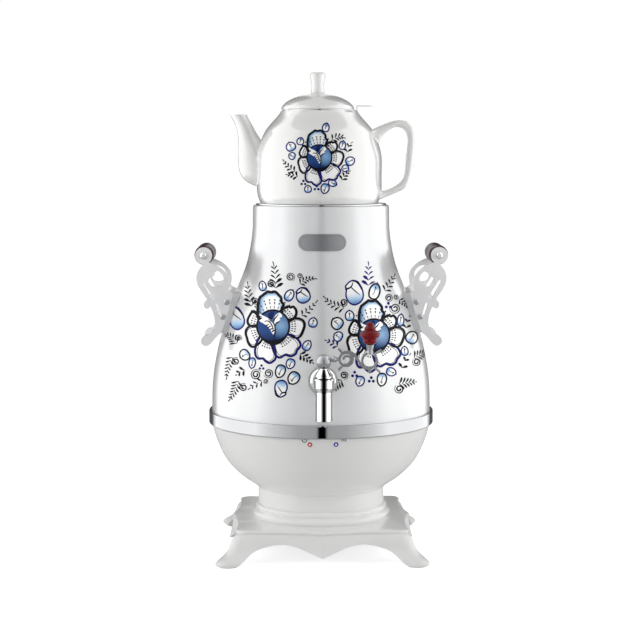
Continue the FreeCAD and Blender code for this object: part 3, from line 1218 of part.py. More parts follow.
def build():
    left = {
        "handle_bracket_left_front": handle_bracket(True),
        "handle_bracket_left_rear": handle_bracket(False),
        "handle_saddle_left": handle_saddle(),
        "handle_screws_left": handle_screws(),
        "grip_left": grip(),
        "grip_rod_left": grip_rod(),
    }
    right = {name.replace("left", "right"): mirror_x(shape) for name, shape in left.items()}
    return {
        "base_stand": base_stand(),
        "foot_pads": foot_pads(),
        "bottom_cover": bottom_cover(),
        "bottom_cover_screws": bottom_cover_screws(),
        "base_screws": base_screws(),
        "pedestal": pedestal(),
        "lower_bowl": lower_bowl(),
        "trim_band": trim_band(),
        "tank_gasket": tank_gasket(),
        "tank_floor": tank_floor(),
        "tie_rods": tie_rods(),
        "tie_nuts": tie_nuts(),
        "upper_body": upper_body(),
        "name_plate": name_plate(),
        "heat_spreader": heat_spreader(),
        "boil_heater": boil_heater(),
        "keep_warm_heater": keep_warm_heater(),
        "thermostat": sensor(SENSOR_X),
        "dry_boil_cutout": sensor(-SENSOR_X),
        "thermal_fuse": thermal_fuse(),
        "mounting_plate": mounting_plate(),
        "control_board": control_board(),
        "relay": relay(),
        "terminal_block": terminal_block(),
        "terminal_screws": terminal_screws(),
        "lamp_board": lamp_board(),
        "lamp_red": lamp(-1),
        "lamp_blue": lamp(1),
        "power_inlet": power_inlet(),
        "inlet_pins": inlet_pins(),
        "switch_frame": switch_frame(),
        "switch_rocker": switch_rocker(),
        "tap_gasket": tap_gasket(),
        "tap_inner_seal": tap_inner_seal(),
        "tap_rose": tap_rose(),
        "tap_body": tap_body(),
        "tap_nut": tap_nut(),
        "tap_bonnet": tap_bonnet(),
        "tap_plug": tap_plug(),
        "tap_plug_seals": tap_plug_seals(),
        "tap_key": tap_key(),
        "key_pin": key_pin(),
        "tap_knob": tap_knob(),
        "knob_stud": knob_stud(),
        **left,
        **right,
        "top_cover": top_cover(),
        "teapot_body": teapot_body(),
        "infuser_basket": infuser_basket(),
        "teapot_lid": teapot_lid(),
    }


def main():
    os.makedirs("parts", exist_ok=True)
    for name, shape in build().items():
        print(f"{name}: {len(shape.Solids)} solids, {shape.Volume / 1000:.2f} cm3, valid {shape.isValid()}")
        shape.exportStep(f"parts/{name}.step")


main()
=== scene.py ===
# %% [markdown]
# # A samovar, dressed over its CAD frame
#
# The frame holds every piece of the samovar at its real size and place. This file gives each piece its finish, turns
# smooth copies of the round ones, and paints the blue flowers. Everything is in metres, but sizes are written in
# millimetres here, as on a drawing, and multiplied by MM.

# %% Load the frame
import json
import math

import bmesh
import bpy
from mathutils import Matrix, Vector
from mathutils.bvhtree import BVHTree

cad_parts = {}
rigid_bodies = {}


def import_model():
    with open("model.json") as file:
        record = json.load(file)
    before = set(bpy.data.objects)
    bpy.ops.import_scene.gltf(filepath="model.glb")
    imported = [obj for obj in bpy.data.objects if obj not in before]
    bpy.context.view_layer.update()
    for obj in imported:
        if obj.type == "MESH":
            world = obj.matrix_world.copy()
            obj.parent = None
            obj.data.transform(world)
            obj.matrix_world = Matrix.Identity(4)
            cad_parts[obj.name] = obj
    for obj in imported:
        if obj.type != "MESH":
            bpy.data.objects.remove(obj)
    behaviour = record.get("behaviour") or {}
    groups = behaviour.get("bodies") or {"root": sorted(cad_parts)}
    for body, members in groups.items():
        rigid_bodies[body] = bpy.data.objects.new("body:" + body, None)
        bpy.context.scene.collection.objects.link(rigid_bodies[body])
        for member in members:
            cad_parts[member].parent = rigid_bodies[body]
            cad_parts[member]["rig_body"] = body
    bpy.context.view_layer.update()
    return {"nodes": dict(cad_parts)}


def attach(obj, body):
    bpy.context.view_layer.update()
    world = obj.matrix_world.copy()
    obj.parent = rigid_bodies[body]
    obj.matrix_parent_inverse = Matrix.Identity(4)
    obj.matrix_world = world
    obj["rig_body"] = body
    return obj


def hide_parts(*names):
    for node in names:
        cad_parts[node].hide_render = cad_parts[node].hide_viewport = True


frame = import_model()
NODES = frame["nodes"]
MM = 0.001

# %% [markdown]
# ## Colours and nodes
#
# A colour picked on a screen is an sRGB value, while a renderer adds up light in linear numbers. One function turns a
# hex value into the linear colour that a socket wants. A second small function adds any node to any material, with
# its settings and its links, so that a material reads as a short list.

# %% Colour and node helpers
def linear(hex_colour, alpha=1.0):
    """The linear colour of an sRGB hex value."""
    channels = [int(hex_colour[i:i + 2], 16) / 255 for i in (1, 3, 5)]
    return [c / 12.92 if c <= 0.04045 else ((c + 0.055) / 1.055) ** 2.4 for c in channels] + [alpha]


def add(tree, kind, inputs=None, **settings):
    """Add a shader node. An input is a value, or another node's output to link."""
    made = tree.nodes.new("ShaderNode" + kind)
    for name, value in settings.items():
        setattr(made, name, value)
    for name, value in (inputs or {}).items():
        if isinstance(value, bpy.types.NodeSocket):
            tree.links.new(value, made.inputs[name])
        else:
            made.inputs[name].default_value = value
    return made


def finish(name, colour, roughness, **sockets):
    """A new material with a Principled shader. Sockets are named with underscores for spaces."""
    material = bpy.data.materials.new(name)
    material.use_nodes = True
    shader = material.node_tree.nodes["Principled BSDF"]
    shader.inputs["Base Color"].default_value = linear(colour)
    shader.inputs["Roughness"].default_value = roughness
    for socket, value in sockets.items():
        shader.inputs[socket.replace("_", " ")].default_value = value
    material.diffuse_color = linear(colour)
    return material, material.node_tree, shader


print("hex grey #808080 is", round(linear("#808080")[0], 3), "in linear light")

# %% [markdown]
# ## How a surface gets its small relief
#
# No sprayed, moulded or glazed surface is perfectly flat. Its long, faint waves bend a reflection a little, and that
# is what tells enamel from glass. They are noise on the object's own coordinates, fed through a Bump node: the shape
# stays as it is, and only the reflection moves. The scale comes from the size of one wave in millimetres.

# %% Waves and grain
def patches(tree, size, detail):
    """Noise on the object's own coordinates, with patches of a size in millimetres."""
    where = add(tree, "TexCoord")
    noise = add(tree, "TexNoise", {"Vector": where.outputs["Object"], "Scale": 1 / (size * MM), "Detail": detail})
    return noise.outputs["Fac"]


def waves(tree, shader, size, height, detail=1.0):
    """Faint relief: waves of a size and a height, both in millimetres."""
    bump = add(tree, "Bump", {"Height": patches(tree, size, detail), "Distance": height * MM, "Strength": 1.0})
    tree.links.new(bump.outputs["Normal"], shader.inputs["Normal"])


def tint(tree, shader, size, dark, light):
    """A base colour that drifts between two hex colours over patches of a size in millimetres."""
    mix = add(tree, "Mix", {"Factor": patches(tree, size, 4.0), 6: linear(dark), 7: linear(light)}, data_type="RGBA")
    tree.links.new(mix.outputs[2], shader.inputs["Base Color"])


print("relief and tint helpers ready")

# %% [markdown]
# ## Finishes of the white pieces
#
# The stand, pedestal and bowl are injection-moulded gloss ABS: an even white right through the plastic, with a
# smooth skin from the polished mould. The body is steel with baked enamel, a shade greyer, with a faint orange-peel
# wave. The teapot is glazed porcelain, white clay under a clear glassy layer, which the coat stands for.

# %% White finishes
moulded_white, tree, shader = finish("ABS, gloss white, moulded", "#f3f3f2", 0.16, IOR=1.53)
tint(tree, shader, 60.0, "#f0f0ef", "#f6f6f5")
waves(tree, shader, 18.0, 0.006)

enamel_white, tree, shader = finish("Enamel, white, baked on steel", "#dcdddf", 0.3, IOR=1.52, Coat_Weight=1.0,
                                    Coat_Roughness=0.2, Coat_IOR=2.5)
tint(tree, shader, 45.0, "#dadbdd", "#dfe0e1")
waves(tree, shader, 9.0, 0.005)

porcelain, tree, shader = finish("Porcelain, white, glazed", "#f5f5f2", 0.22, IOR=1.5, Coat_Weight=1.0,
                                 Coat_Roughness=0.08, Coat_IOR=1.9)
tint(tree, shader, 25.0, "#f1f2f0", "#f8f8f6")
waves(tree, shader, 14.0, 0.004)
print("white finishes:", moulded_white.name, "|", enamel_white.name, "|", porcelain.name)

# %% [markdown]
# ## Metals
#
# A metal has no colour under its surface: what shows is the room, tinted by the metal. So its own roughness does the
# work. Polished stainless steel is a little grey, chrome plating is nearly a mirror, and the aluminium plate inside is
# dull and rolled. The roughness drifts over small patches.

# %% Metal finishes
def metal(name, colour, low, high, size):
    """A bare metal. Its roughness drifts between low and high, over patches of a size in millimetres."""
    material, tree, shader = finish(name, colour, (low + high) / 2, Metallic=1.0)
    drift = add(tree, "MapRange", {"Value": patches(tree, size, 3.0), "From Min": 0.3, "From Max": 0.7,
                                   "To Min": low, "To Max": high})
    tree.links.new(drift.outputs["Result"], shader.inputs["Roughness"])
    return material


polished_steel = metal("Stainless steel, polished", "#c9cacb", 0.07, 0.12, 12.0)
plain_steel = metal("Steel, zinc plated", "#a9abad", 0.26, 0.36, 4.0)
bright_steel = metal("Stainless steel, mirror polished", "#a9aaab", 0.03, 0.05, 12.0)
chrome = metal("Chrome, plated on brass", "#d6d8da", 0.03, 0.07, 9.0)
satin_chrome = metal("Chrome, satin, plated on zinc", "#a4a6a9", 0.24, 0.3, 5.0)
brass = metal("Brass, turned", "#c9a45c", 0.18, 0.3, 5.0)
rolled_plate = metal("Aluminium plate, rolled", "#b4b6b8", 0.34, 0.44, 8.0)
badge_metal = metal("Aluminium badge, satin", "#8b8d90", 0.3, 0.36, 3.0)

# A small cylinder squeezes the whole room into a few millimetres: a dark line in front, a bright band on either side.
# These reflection bands are painted into the base colour, by a ramp over the sideways part of the normal.
chrome_painted_reflection, tree, shader = finish("Chrome on turned brass, painted reflection bands", "#d6d8da", 0.08, Metallic=1.0)
facing = add(tree, "NewGeometry")
parts = add(tree, "SeparateXYZ", {"Vector": facing.outputs["Normal"]})
aside = add(tree, "Math", {0: parts.outputs["X"]}, operation="ABSOLUTE")
painted_reflection_ramp = add(tree, "ValToRGB", {"Fac": aside.outputs[0]})
stops = painted_reflection_ramp.color_ramp.elements
PAINTED_REFLECTION_STOPS = {0.0: "#08080a", 1.0: "#2c2d30", 0.12: "#08080a", 0.2: "#8c8e90", 0.32: "#f6f6f6", 0.62: "#f2f2f2",
        0.74: "#77797c", 0.9: "#3a3b3e"}
for stop, position in zip((stops[0], stops[1], *(stops.new(0.5) for _ in range(len(PAINTED_REFLECTION_STOPS) - 2))), PAINTED_REFLECTION_STOPS):
    stop.position, stop.color = position, linear(PAINTED_REFLECTION_STOPS[position])
tree.links.new(painted_reflection_ramp.outputs["Color"], shader.inputs["Base Color"])
print("metals:", [m.name for m in (polished_steel, plain_steel, chrome, brass, rolled_plate, badge_metal)])

# %% [markdown]
# ## Coloured and hidden finishes
#
# The grips are phenolic, a dark thermoset whose red-brown drifts a little, like resin. The knob is acrylic in a deep
# ruby red. The brackets are cast and painted a pale, almost white grey. The seals are matt silicone, and the circuit
# boards are green laminate under solder mask. A lamp's lens has a painted white glow in its middle, its colour at the
# rim.

# %% Coloured finishes
cast_paint, tree, shader = finish("Zinc casting, pale grey paint", "#fafafb", 0.24, IOR=1.5, Coat_Weight=0.4,
                                  Coat_Roughness=0.12)
waves(tree, shader, 2.5, 0.012, 2.0)

phenolic, tree, shader = finish("Phenolic resin, dark red-brown", "#4a1a20", 0.3, IOR=1.6, Specular_IOR_Level=0.15)
tint(tree, shader, 9.0, "#2c0c0d", "#4c181e")
waves(tree, shader, 6.0, 0.004)

ruby, tree, shader = finish("Acrylic, ruby red", "#7c0811", 0.14, IOR=1.49, Specular_IOR_Level=0.2)
tint(tree, shader, 5.0, "#6a050d", "#860a14")

silicone, tree, shader = finish("Silicone, translucent grey", "#b9bab6", 0.55, IOR=1.41)
waves(tree, shader, 1.2, 0.01, 2.0)

rubber, tree, shader = finish("Rubber, black, moulded", "#26272a", 0.62, IOR=1.52)
waves(tree, shader, 0.8, 0.015, 2.0)

dark_plastic, tree, shader = finish("Polyamide, black, fine texture", "#1d1e20", 0.42, IOR=1.53)
waves(tree, shader, 0.6, 0.02, 2.0)

laminate, tree, shader = finish("Glass laminate, green solder mask", "#24643e", 0.34, IOR=1.55)
tint(tree, shader, 3.0, "#1d5735", "#2b7046")


def lens_with_painted_glow(name, colour, x, z):
    """A lens with a painted white glow in its middle and its own colour at its rim, measured from its own axis."""
    material, tree, shader = finish(name, colour, 0.2, IOR=1.58)
    where = add(tree, "TexCoord")
    from_axis = add(tree, "VectorMath", {0: where.outputs["Object"], 1: (x * MM, 0, z * MM)}, operation="SUBTRACT")
    flat = add(tree, "VectorMath", {0: from_axis.outputs[0], 1: (1, 0, 1)}, operation="MULTIPLY")
    reach = add(tree, "VectorMath", {0: flat.outputs[0]}, operation="LENGTH")
    rim = add(tree, "MapRange", {"Value": reach.outputs["Value"], "From Min": 0.8 * MM, "From Max": 1.2 * MM})
    # The white middle is painted glow of the lit lamp, mixed into the lens colour towards the rim.
    mix = add(tree, "Mix", {"Factor": rim.outputs["Result"], 6: linear("#fff4f4"), 7: linear(colour)},
              data_type="RGBA")
    tree.links.new(mix.outputs[2], shader.inputs["Base Color"])
    return material


LAMP_X, LAMP_Z = 12.3, 121.5
red_lens = lens_with_painted_glow("Polycarbonate lens, red rim, painted white glow", "#d01020", -LAMP_X, LAMP_Z)
blue_lens = lens_with_painted_glow("Polycarbonate lens, blue rim, painted white glow", "#1434b4", LAMP_X, LAMP_Z)
print(len(bpy.data.materials), "materials so far")

# %% [markdown]
# ## Every CAD node gets its finish
#
# The frame comes in with plain materials. Each node's slots are filled with the finish of the real piece, before any
# piece is replaced, so that nothing is left bare, also inside. A table by finish keeps this short.

# %% Give every node its finish
FINISHES = {
    moulded_white: ["base_stand", "pedestal", "lower_bowl"],
    enamel_white: ["upper_body"],
    porcelain: ["teapot_body", "teapot_lid"],
    bright_steel: ["trim_band"],
    polished_steel: ["tank_floor", "infuser_basket", "top_cover", "mounting_plate"],
    plain_steel: ["bottom_cover", "bottom_cover_screws", "base_screws", "tie_rods", "tie_nuts", "boil_heater",
                  "keep_warm_heater", "thermostat", "dry_boil_cutout", "thermal_fuse", "terminal_screws",
                  "key_pin", "knob_stud", "handle_screws_left", "handle_screws_right"],
    chrome: ["tap_rose", "tap_plug", "grip_rod_left", "grip_rod_right"],
    chrome_painted_reflection: ["tap_body", "tap_bonnet"],
    satin_chrome: ["tap_key"],
    brass: ["tap_nut", "inlet_pins"],
    rolled_plate: ["heat_spreader"],
    badge_metal: ["name_plate"],
    cast_paint: [f"handle_{piece}" for side in ("left", "right")
                 for piece in (f"bracket_{side}_front", f"bracket_{side}_rear", f"saddle_{side}")],
    phenolic: ["grip_left", "grip_right"],
    ruby: ["tap_knob"],
    silicone: ["tank_gasket", "tap_gasket", "tap_inner_seal", "tap_plug_seals"],
    rubber: ["foot_pads"],
    dark_plastic: ["relay", "terminal_block", "power_inlet", "switch_frame", "switch_rocker"],
    laminate: ["control_board", "lamp_board"],
    red_lens: ["lamp_red"],
    blue_lens: ["lamp_blue"],
}
finish_of = {node: material for material, nodes in FINISHES.items() for node in nodes}
for node, item in NODES.items():
    for slot in item.material_slots:
        slot.material = finish_of[node]
print("nodes without a finish:", sorted(set(NODES) - set(finish_of)))

# %% [markdown]
# ## Turning on a lathe
#
# Most of a samovar is spun or turned, and so are these pieces: half of the section is drawn as a line of points
# (distance from the axis, height) and spun all the way round. Where a metal spinner would blend two points, a smooth
# curve runs through them. Straight stretches keep their corners, and a narrow bevel breaks the sharpest ones.

# %% The lathe
CLOSEST = 0.004  # millimetres, points nearer than this become one


def smooth(points, steps=6):
    """A smooth line through points, with a few steps between each two."""
    line = []
    for i in range(len(points) - 1):
        before = Vector(points[max(i - 1, 0)])
        start, end = Vector(points[i]), Vector(points[i + 1])
        after = Vector(points[min(i + 2, len(points) - 1)])
        reach = (end - start).length
        lead = (end - before) / max((end - before).length, 1e-9) * reach
        trail = (after - start) / max((after - start).length, 1e-9) * reach
        for k in range(steps):
            t = k / steps
            line.append(start * (2 * t ** 3 - 3 * t ** 2 + 1) + lead * (t ** 3 - 2 * t ** 2 + t)
                        + end * (3 * t ** 2 - 2 * t ** 3) + trail * (t ** 3 - t ** 2))
    return [tuple(p) for p in line] + [tuple(points[-1])]


def section(*parts):
    """One line from single points and from lists of points, which become smooth."""
    line = []
    for part in parts:
        line += smooth(part) if isinstance(part, list) else [part]
    return [p for i, p in enumerate(line) if i == 0 or (Vector(p) - Vector(line[i - 1])).length > CLOSEST]


def new_object(name, data):
    """An object for new data, linked to the scene."""
    item = bpy.data.objects.new(name, data)
    bpy.context.scene.collection.objects.link(item)
    return item


def place(name, mesh, node, material, angle=30.0):
    """Make a new piece, shade it, give it its finish, and let it ride on the body of the node it replaces."""
    piece = new_object(name, mesh)
    mesh.materials.clear()
    mesh.materials.append(material)
    mesh.shade_smooth()
    mesh.set_sharp_from_angle(angle=math.radians(angle))
    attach(piece, NODES[node]["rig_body"])
    return piece


def as_mesh(shape, name):
    """Turn a finished bmesh into a mesh."""
    mesh = bpy.data.meshes.new(name)
    shape.to_mesh(mesh)
    shape.free()
    return mesh


def laid(x, z):
    """The matrix that lays an upright piece along Y, with its axis through x and z in millimetres."""
    return Matrix.Translation((x * MM, 0, z * MM)) @ Matrix.Rotation(math.radians(90), 4, "X")


def turned(name, node, line, material, centre=(0.0, 0.0), closed=True, steps=160, angle=30.0, lay=None):
    """Spin a section round the vertical line through centre, or lay it over with a matrix."""
    shape = bmesh.new()
    points = [shape.verts.new((r * MM, 0, z * MM)) for r, z in line]
    edges = [shape.edges.new(pair) for pair in zip(points, points[1:])]
    if closed:
        edges.append(shape.edges.new((points[-1], points[0])))
    bmesh.ops.spin(shape, geom=points + edges, cent=(0, 0, 0), axis=(0, 0, 1), angle=math.tau, steps=steps,
                   use_merge=True, use_duplicate=False)
    bmesh.ops.remove_doubles(shape, verts=shape.verts, dist=1e-7)
    bmesh.ops.dissolve_degenerate(shape, edges=shape.edges, dist=1e-8)
    if lay is not None:
        shape.transform(lay)
    shape.transform(Matrix.Translation((centre[0] * MM, centre[1] * MM, 0)))
    bmesh.ops.recalc_face_normals(shape, faces=shape.faces)
    mesh = as_mesh(shape, name)
    print(name, "turned:", len(mesh.polygons), "faces")
    return place(name, mesh, node, material, angle)


def soften(piece, width):
    """Break the sharp edges of a piece with a small bevel, width in millimetres."""
    bevel = piece.modifiers.new("edge", "BEVEL")
    bevel.width = width * MM
    bevel.segments = 2
    bevel.limit_method = "ANGLE"
    bevel.angle_limit = math.radians(35.0)


print("a circle of 160 steps at 109 mm is off by", round(109 * (1 - math.cos(math.pi / 160)), 3), "mm")

# %% [markdown]
# ## The body
#
# The tank is one steel sheet, spun over a former into a pear and enamelled. Its wall is 1.5 mm, its lower rim stands
# on the seal behind the bright band, and its mouth turns in. The same curve gives the wall inside, one wall nearer
# the axis, so the piece is whole when the cover is off.

# %% Body
BODY_CURVE = [(0, 1), (0.10, 0.988), (0.183, 0.955), (0.266, 0.885), (0.36, 0.783), (0.423, 0.687),
              (0.502, 0.566), (0.60, 0.378), (0.668, 0.236), (0.737, 0.125), (0.83, 0.038), (0.894, 0.004), (1, 0)]
NECK_R, BELLY_R, BODY_LOW, BODY_TOP = 67.5, 109, 139.7, 343.6
WALL = 1.5
BODY = [(NECK_R + (BELLY_R - NECK_R) * swell, BODY_LOW + (BODY_TOP - BODY_LOW) * rise) for rise, swell in BODY_CURVE]
inside = [(r - WALL, z) for r, z in BODY[:-1]] + [(NECK_R - WALL, BODY_TOP - WALL)]
body = turned("body_shell", "upper_body", section(
    (107.5, 134), (109, 134), BODY[:-1], (NECK_R, 341.6), (66.9, 343), (65.5, 343.6), (62.5, 343.6), (62.5, 342.1),
    inside[::-1]), enamel_white, steps=192)
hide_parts("upper_body")

# %% [markdown]
# ## Pedestal and band
#
# The pedestal is a short moulded column with a cove, a bead and a wide foot ring that covers its screws. The band is
# a strip of polished stainless steel that hides the joint between bowl and body.

# %% Pedestal and band
pedestal = turned("pedestal_column", "pedestal", section(
    (48, 33.3), [(67.3, 33.3), (68.5, 35.6), (68.3, 37.8), (65.9, 40.2)],
    [(64.8, 40.8), (65.6, 42.8), (65.2, 44.6), (62.5, 46.2)], (63, 46.8), (63, 62.5), (48, 62.5), (48, 59.5),
    (60, 59.5), (60, 36.3), (48, 36.3)), moulded_white)
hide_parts("pedestal")
band = turned("bright_band", "trim_band", section(
    (109.1, 127), (111.4, 127), (112, 127.6), (112, 139.1), (111.4, 139.7), (109.1, 139.7)), bright_steel, steps=192)
soften(band, 0.3)
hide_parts("trim_band")

# %% [markdown]
# ## Copies of the CAD pieces
#
# Cast and moulded pieces that aren't round, such as the stand, the bowl with its socket box behind, the brackets and
# the key, already have their true shape in the frame. Their meshes are loose triangles, so light breaks at each one.
# A copy is merged into one skin and shaded smooth, except at real corners, which a small bevel rounds as a mould or a
# polishing wheel would.

# %% Clean copies
def cleaned(name, node, material, bevel=0, angle=30):
    """A merged, smooth copy of a CAD node that replaces it."""
    mesh = NODES[node].data.copy()
    shape = bmesh.new()
    shape.from_mesh(mesh)
    bmesh.ops.remove_doubles(shape, verts=shape.verts, dist=2e-6)
    bmesh.ops.dissolve_limit(shape, angle_limit=math.radians(0.4), verts=shape.verts, edges=shape.edges)
    shape.to_mesh(mesh)
    shape.free()
    piece = place(name, mesh, node, material, angle)
    if bevel:
        soften(piece, bevel)
    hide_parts(node)
    print(name, "copied:", len(mesh.polygons), "faces")
    return piece


cleaned("stand_casting", "base_stand", moulded_white, angle=28)
bowl = cleaned("bowl_moulding", "lower_bowl", moulded_white, angle=28)
for side in ("left", "right"):
    for end in ("front", "rear"):
        cleaned(f"bracket_{side}_{end}", f"handle_bracket_{side}_{end}", cast_paint, 0.7)
    cleaned(f"saddle_{side}", f"handle_saddle_{side}", cast_paint, 0.6)
cleaned("key_scrolls", "tap_key", satin_chrome, 0.7)
cleaned("badge_blank", "name_plate", badge_metal, 0.2)

# %% [markdown]
# ## Teapot and lid
#
# The pot is slip-cast porcelain: a turned form, with a spout cast apart and stuck on, and a pulled handle. The lid is
# spun here. The pot comes from the frame as one merged copy of its skin, because its spout and handle have no axis to
# spin about and grow out of its wall without a seam.

# %% Teapot
pot = cleaned("pot_with_spout", "teapot_body", porcelain, angle=40)
LID_LINE = [(1, 0), (0.99, 0.09), (0.961, 0.21), (0.833, 0.48), (0.57, 0.78), (0.3, 0.93), (0.165, 1)]
LID_R, LID_LOW, LID_RISE, LID_X = 35.9, 437.8, 15.4, -3.3
lid_outer = [(LID_R * swell, LID_LOW + LID_RISE * rise) for swell, rise in LID_LINE]
lid = turned("lid_glazed", "teapot_lid", section(
    (28.4, 436.8), (35.3, 436.8), lid_outer,
    [(6.7, 454.2), (5.9, 459.3), (7.1, 467.9), (7.4, 471.2), (6, 473), (2.5, 473.6), (0, 473.6)],
    [(0, 449.6), (10, 448.6), (20, 445.4), (24.2, 442.6)], (24.9, 439.8), (24.9, 430.8), (27.9, 430.8),
    (28.4, 431.4)), porcelain, centre=(LID_X, 0))
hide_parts("teapot_lid")

# %% [markdown]
# ## Tap
#
# The tap is turned brass with chrome plating. The spout, barrel, bonnet and rose are bodies of revolution, which
# the lathe makes with clean highlights, and on the spout and bonnet the reflection bands are painted in. The pipe to
# the tank lies down, so its section is spun upright and then laid over towards the viewer.

# %% Tap
TAP_Y, PIPE_Z = -147, 182.0
lay_back = laid(0, PIPE_Z)
spout_line = section(
    (5.5, 150.4), (8, 150.4), (8.5, 151), [(8.5, 171), (7.9, 175.4), (5.5, 178.6), (4.9, 180.3)], (7, 177.3),
    (9.3, 180.3), (10.1, 181.3), (10.1, 188.5), (9.1, 189.5), (3.5, 189.5), (3.5, 176), (5.5, 176))
tap = turned("tap_spout", "tap_body", spout_line, chrome_painted_reflection, centre=(0, TAP_Y), steps=96, angle=32)
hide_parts("tap_body")
turned("tap_pipe", "tap_body", section(
    (4.5, 96), (7, 96), (7, 108), (7.5, 109), (7.5, 141), (4.5, 141)), chrome, steps=64, lay=lay_back)
bonnet = turned("tap_cap", "tap_bonnet", section(
    (3.5, 189.5), (7.7, 189.5), (8.7, 190.5), (8.7, 192.1), (4.6, 198), (3.5, 198)),
    chrome_painted_reflection, centre=(0, TAP_Y), steps=96)
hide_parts("tap_bonnet")
rosette = turned("tap_escutcheon", "tap_rose", section(
    (7.6, 109), (12.2, 109), [(12.2, 110.2), (11.4, 111.4), (9.8, 112.4)], (7.6, 112.4)),
    chrome, steps=96, lay=lay_back)
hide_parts("tap_rose")

# %% [markdown]
# ## Knob and grips
#
# The knob is turned acrylic with a fat ring between two necks and a small ball on top. The grips are turned phenolic
# with a slight waist, held by a chromed stud whose domed ends show in the middle of each bracket.

# %% Knob and grips
KNOB_CURVE = [(3.4, 0.02), (4.4, 0.05), (5.8, 0.1), (6.3, 0.17), (6.3, 0.25), (6.5, 0.29), (8, 0.34), (8.9, 0.4),
              (9, 0.46), (8.4, 0.54), (6.6, 0.61), (5, 0.655), (5.2, 0.7), (5, 0.75), (4.1, 0.79), (3.5, 0.83),
              (3.5, 0.88), (3, 0.93), (1.9, 0.97)]
KNOB_X, KNOB_LOW, KNOB_HEIGHT = 42.1, 220.5, 21.0
knob_line = [(r, KNOB_LOW + KNOB_HEIGHT * rise) for r, rise in KNOB_CURVE]
knob = turned("knob_turned", "tap_knob", section((2.1, KNOB_LOW), knob_line, (0.9, 241.4), (0, 241.5)), ruby,
              centre=(KNOB_X, TAP_Y), closed=False, steps=64, angle=50)
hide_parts("tap_knob")

grip_line = section(
    (3.1, -32), [(8.5, -32), (9.4, -27.5), (9.5, -16), (8.8, 0), (9.5, 16), (9.4, 27.5), (8.5, 32)], (3.1, 32))
stud_line = section(
    (0, -38.8), (2, -38.8), (3.3, -37.9), (3.6, -37.4), (3.6, -37), (3, -37), (3, 37), (3.6, 37), (3.6, 37.4),
    (3.3, 37.9), (2, 38.8), (0, 38.8))
GRIP_X, GRIP_Z = 114.7, 295.2
for side, sign in (("left", -1), ("right", 1)):
    lay = laid(sign * GRIP_X, GRIP_Z)
    grip = turned(f"grip_turned_{side}", f"grip_{side}", grip_line, phenolic, steps=64, lay=lay)
    soften(grip, 0.4)
    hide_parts(f"grip_{side}")
    stud = turned(f"grip_stud_{side}", f"grip_rod_{side}", stud_line, chrome, closed=False, steps=48, lay=lay)
    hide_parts(f"grip_rod_{side}")

# %% [markdown]
# ## Cover under the teapot
#
# A pressed disc of stainless steel closes the mouth of the tank. The steam comes up through its middle, and a low
# ring keeps the pot from sliding.

# %% Cover
cover = turned("cover_disc", "top_cover", section(
    (28, 343.9), (60.7, 343.9), (60.7, 334.6), (62.2, 334.6), (62.2, 343.9), (64.6, 343.9), (64.6, 344.8),
    (64.3, 345.1), (48.5, 345.1), (48, 347.6), (46, 347.6), (45.5, 345.1), (28, 345.1)), polished_steel)
soften(cover, 0.3)
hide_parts("top_cover")

# %% [markdown]
# ## Camera
#
# The picture was taken from 1.65 m away and a little above the middle, with a long lens, so that the ellipses of the
# band and the stand are flat. Distance, height and focal length were fitted together to those ellipses.

# %% Camera
PICTURE = 640  # pixels, in width and in height
lens = bpy.data.cameras.new("camera")
lens.lens = 93.4
lens.sensor_width = 36.0
lens.clip_end = 50.0
camera = new_object("camera", lens)
camera.location = (-0.0288, -1.6497, 0.3936)
aim = Vector((-0.001, 0.0, 0.2286)) - camera.location
camera.rotation_euler = aim.to_track_quat("-Z", "Y").to_euler()
bpy.context.scene.camera = camera
FOCAL_PIXELS = lens.lens / lens.sensor_width * PICTURE
print("camera looks down by", round(math.degrees(math.atan2(-aim.z, aim.y)), 2), "degrees")

# %% [markdown]
# ## Brushes
#
# The blue flowers are the traditional brush painting on white ware: a few loaded strokes to a leaf, a wash from dark
# to pale blue in each petal. A flat picture could be wrapped round, but a picture has pixels. Here each stroke is a
# thin skin of paint of its own. It is drawn flat, in picture places (one unit is one millimetre at the axis), and then
# thrown from the camera onto the curved wall, where it lies 0.05 mm proud, each later layer 0.03 mm higher.

# %% Brushes
INK, NAVY, CHALK = "#04040e", "#16166a", "#ffffff"
SKY, COBALT, DEEP = "#9ccdf4", "#1450a8", "#0d4488"


def blend(low, high, share):
    """The linear colour between two hex colours."""
    share = min(max(share, 0.0), 1.0)
    return [a + (b - a) * share for a, b in zip(linear(low), linear(high))]


def canvas():
    """A new sheet: an empty bmesh and the layer that holds its paint."""
    shape = bmesh.new()
    return shape, shape.verts.layers.float_color.new("paint")


def dab(sheet, x, y, layer, colour):
    """One point of paint. Its height holds the number of its layer until the sheet is fired on."""
    vert = sheet[0].verts.new((x, y, layer))
    vert[sheet[1]] = linear(colour) if isinstance(colour, str) else colour
    return vert


def brush(sheet, points, widths, colour=INK, layer=2, steps=4):
    """A stroke along a smooth line. Its width runs through the given widths from end to end."""
    line = [Vector(p) for p in smooth(points, steps)]
    last = None
    for i, spot in enumerate(line):
        along = (line[min(i + 1, len(line) - 1)] - line[max(i - 1, 0)]).normalized()
        share = i / (len(line) - 1) * (len(widths) - 1)
        k = min(int(share), len(widths) - 2)
        half = (widths[k] + (widths[k + 1] - widths[k]) * (share - k)) / 2
        pair = [dab(sheet, spot.x - s * along.y * half, spot.y + s * along.x * half, layer, colour) for s in (-1, 1)]
        if last:
            sheet[0].faces.new((last[0], last[1], pair[1], pair[0]))
        last = pair


def ring_points(points, count=28):
    """A smooth closed line through points."""
    line = smooth(points[-2:] + points + points[:3], 6)[12:-13]
    step = len(line) / count
    return [line[int(i * step)] for i in range(count)]


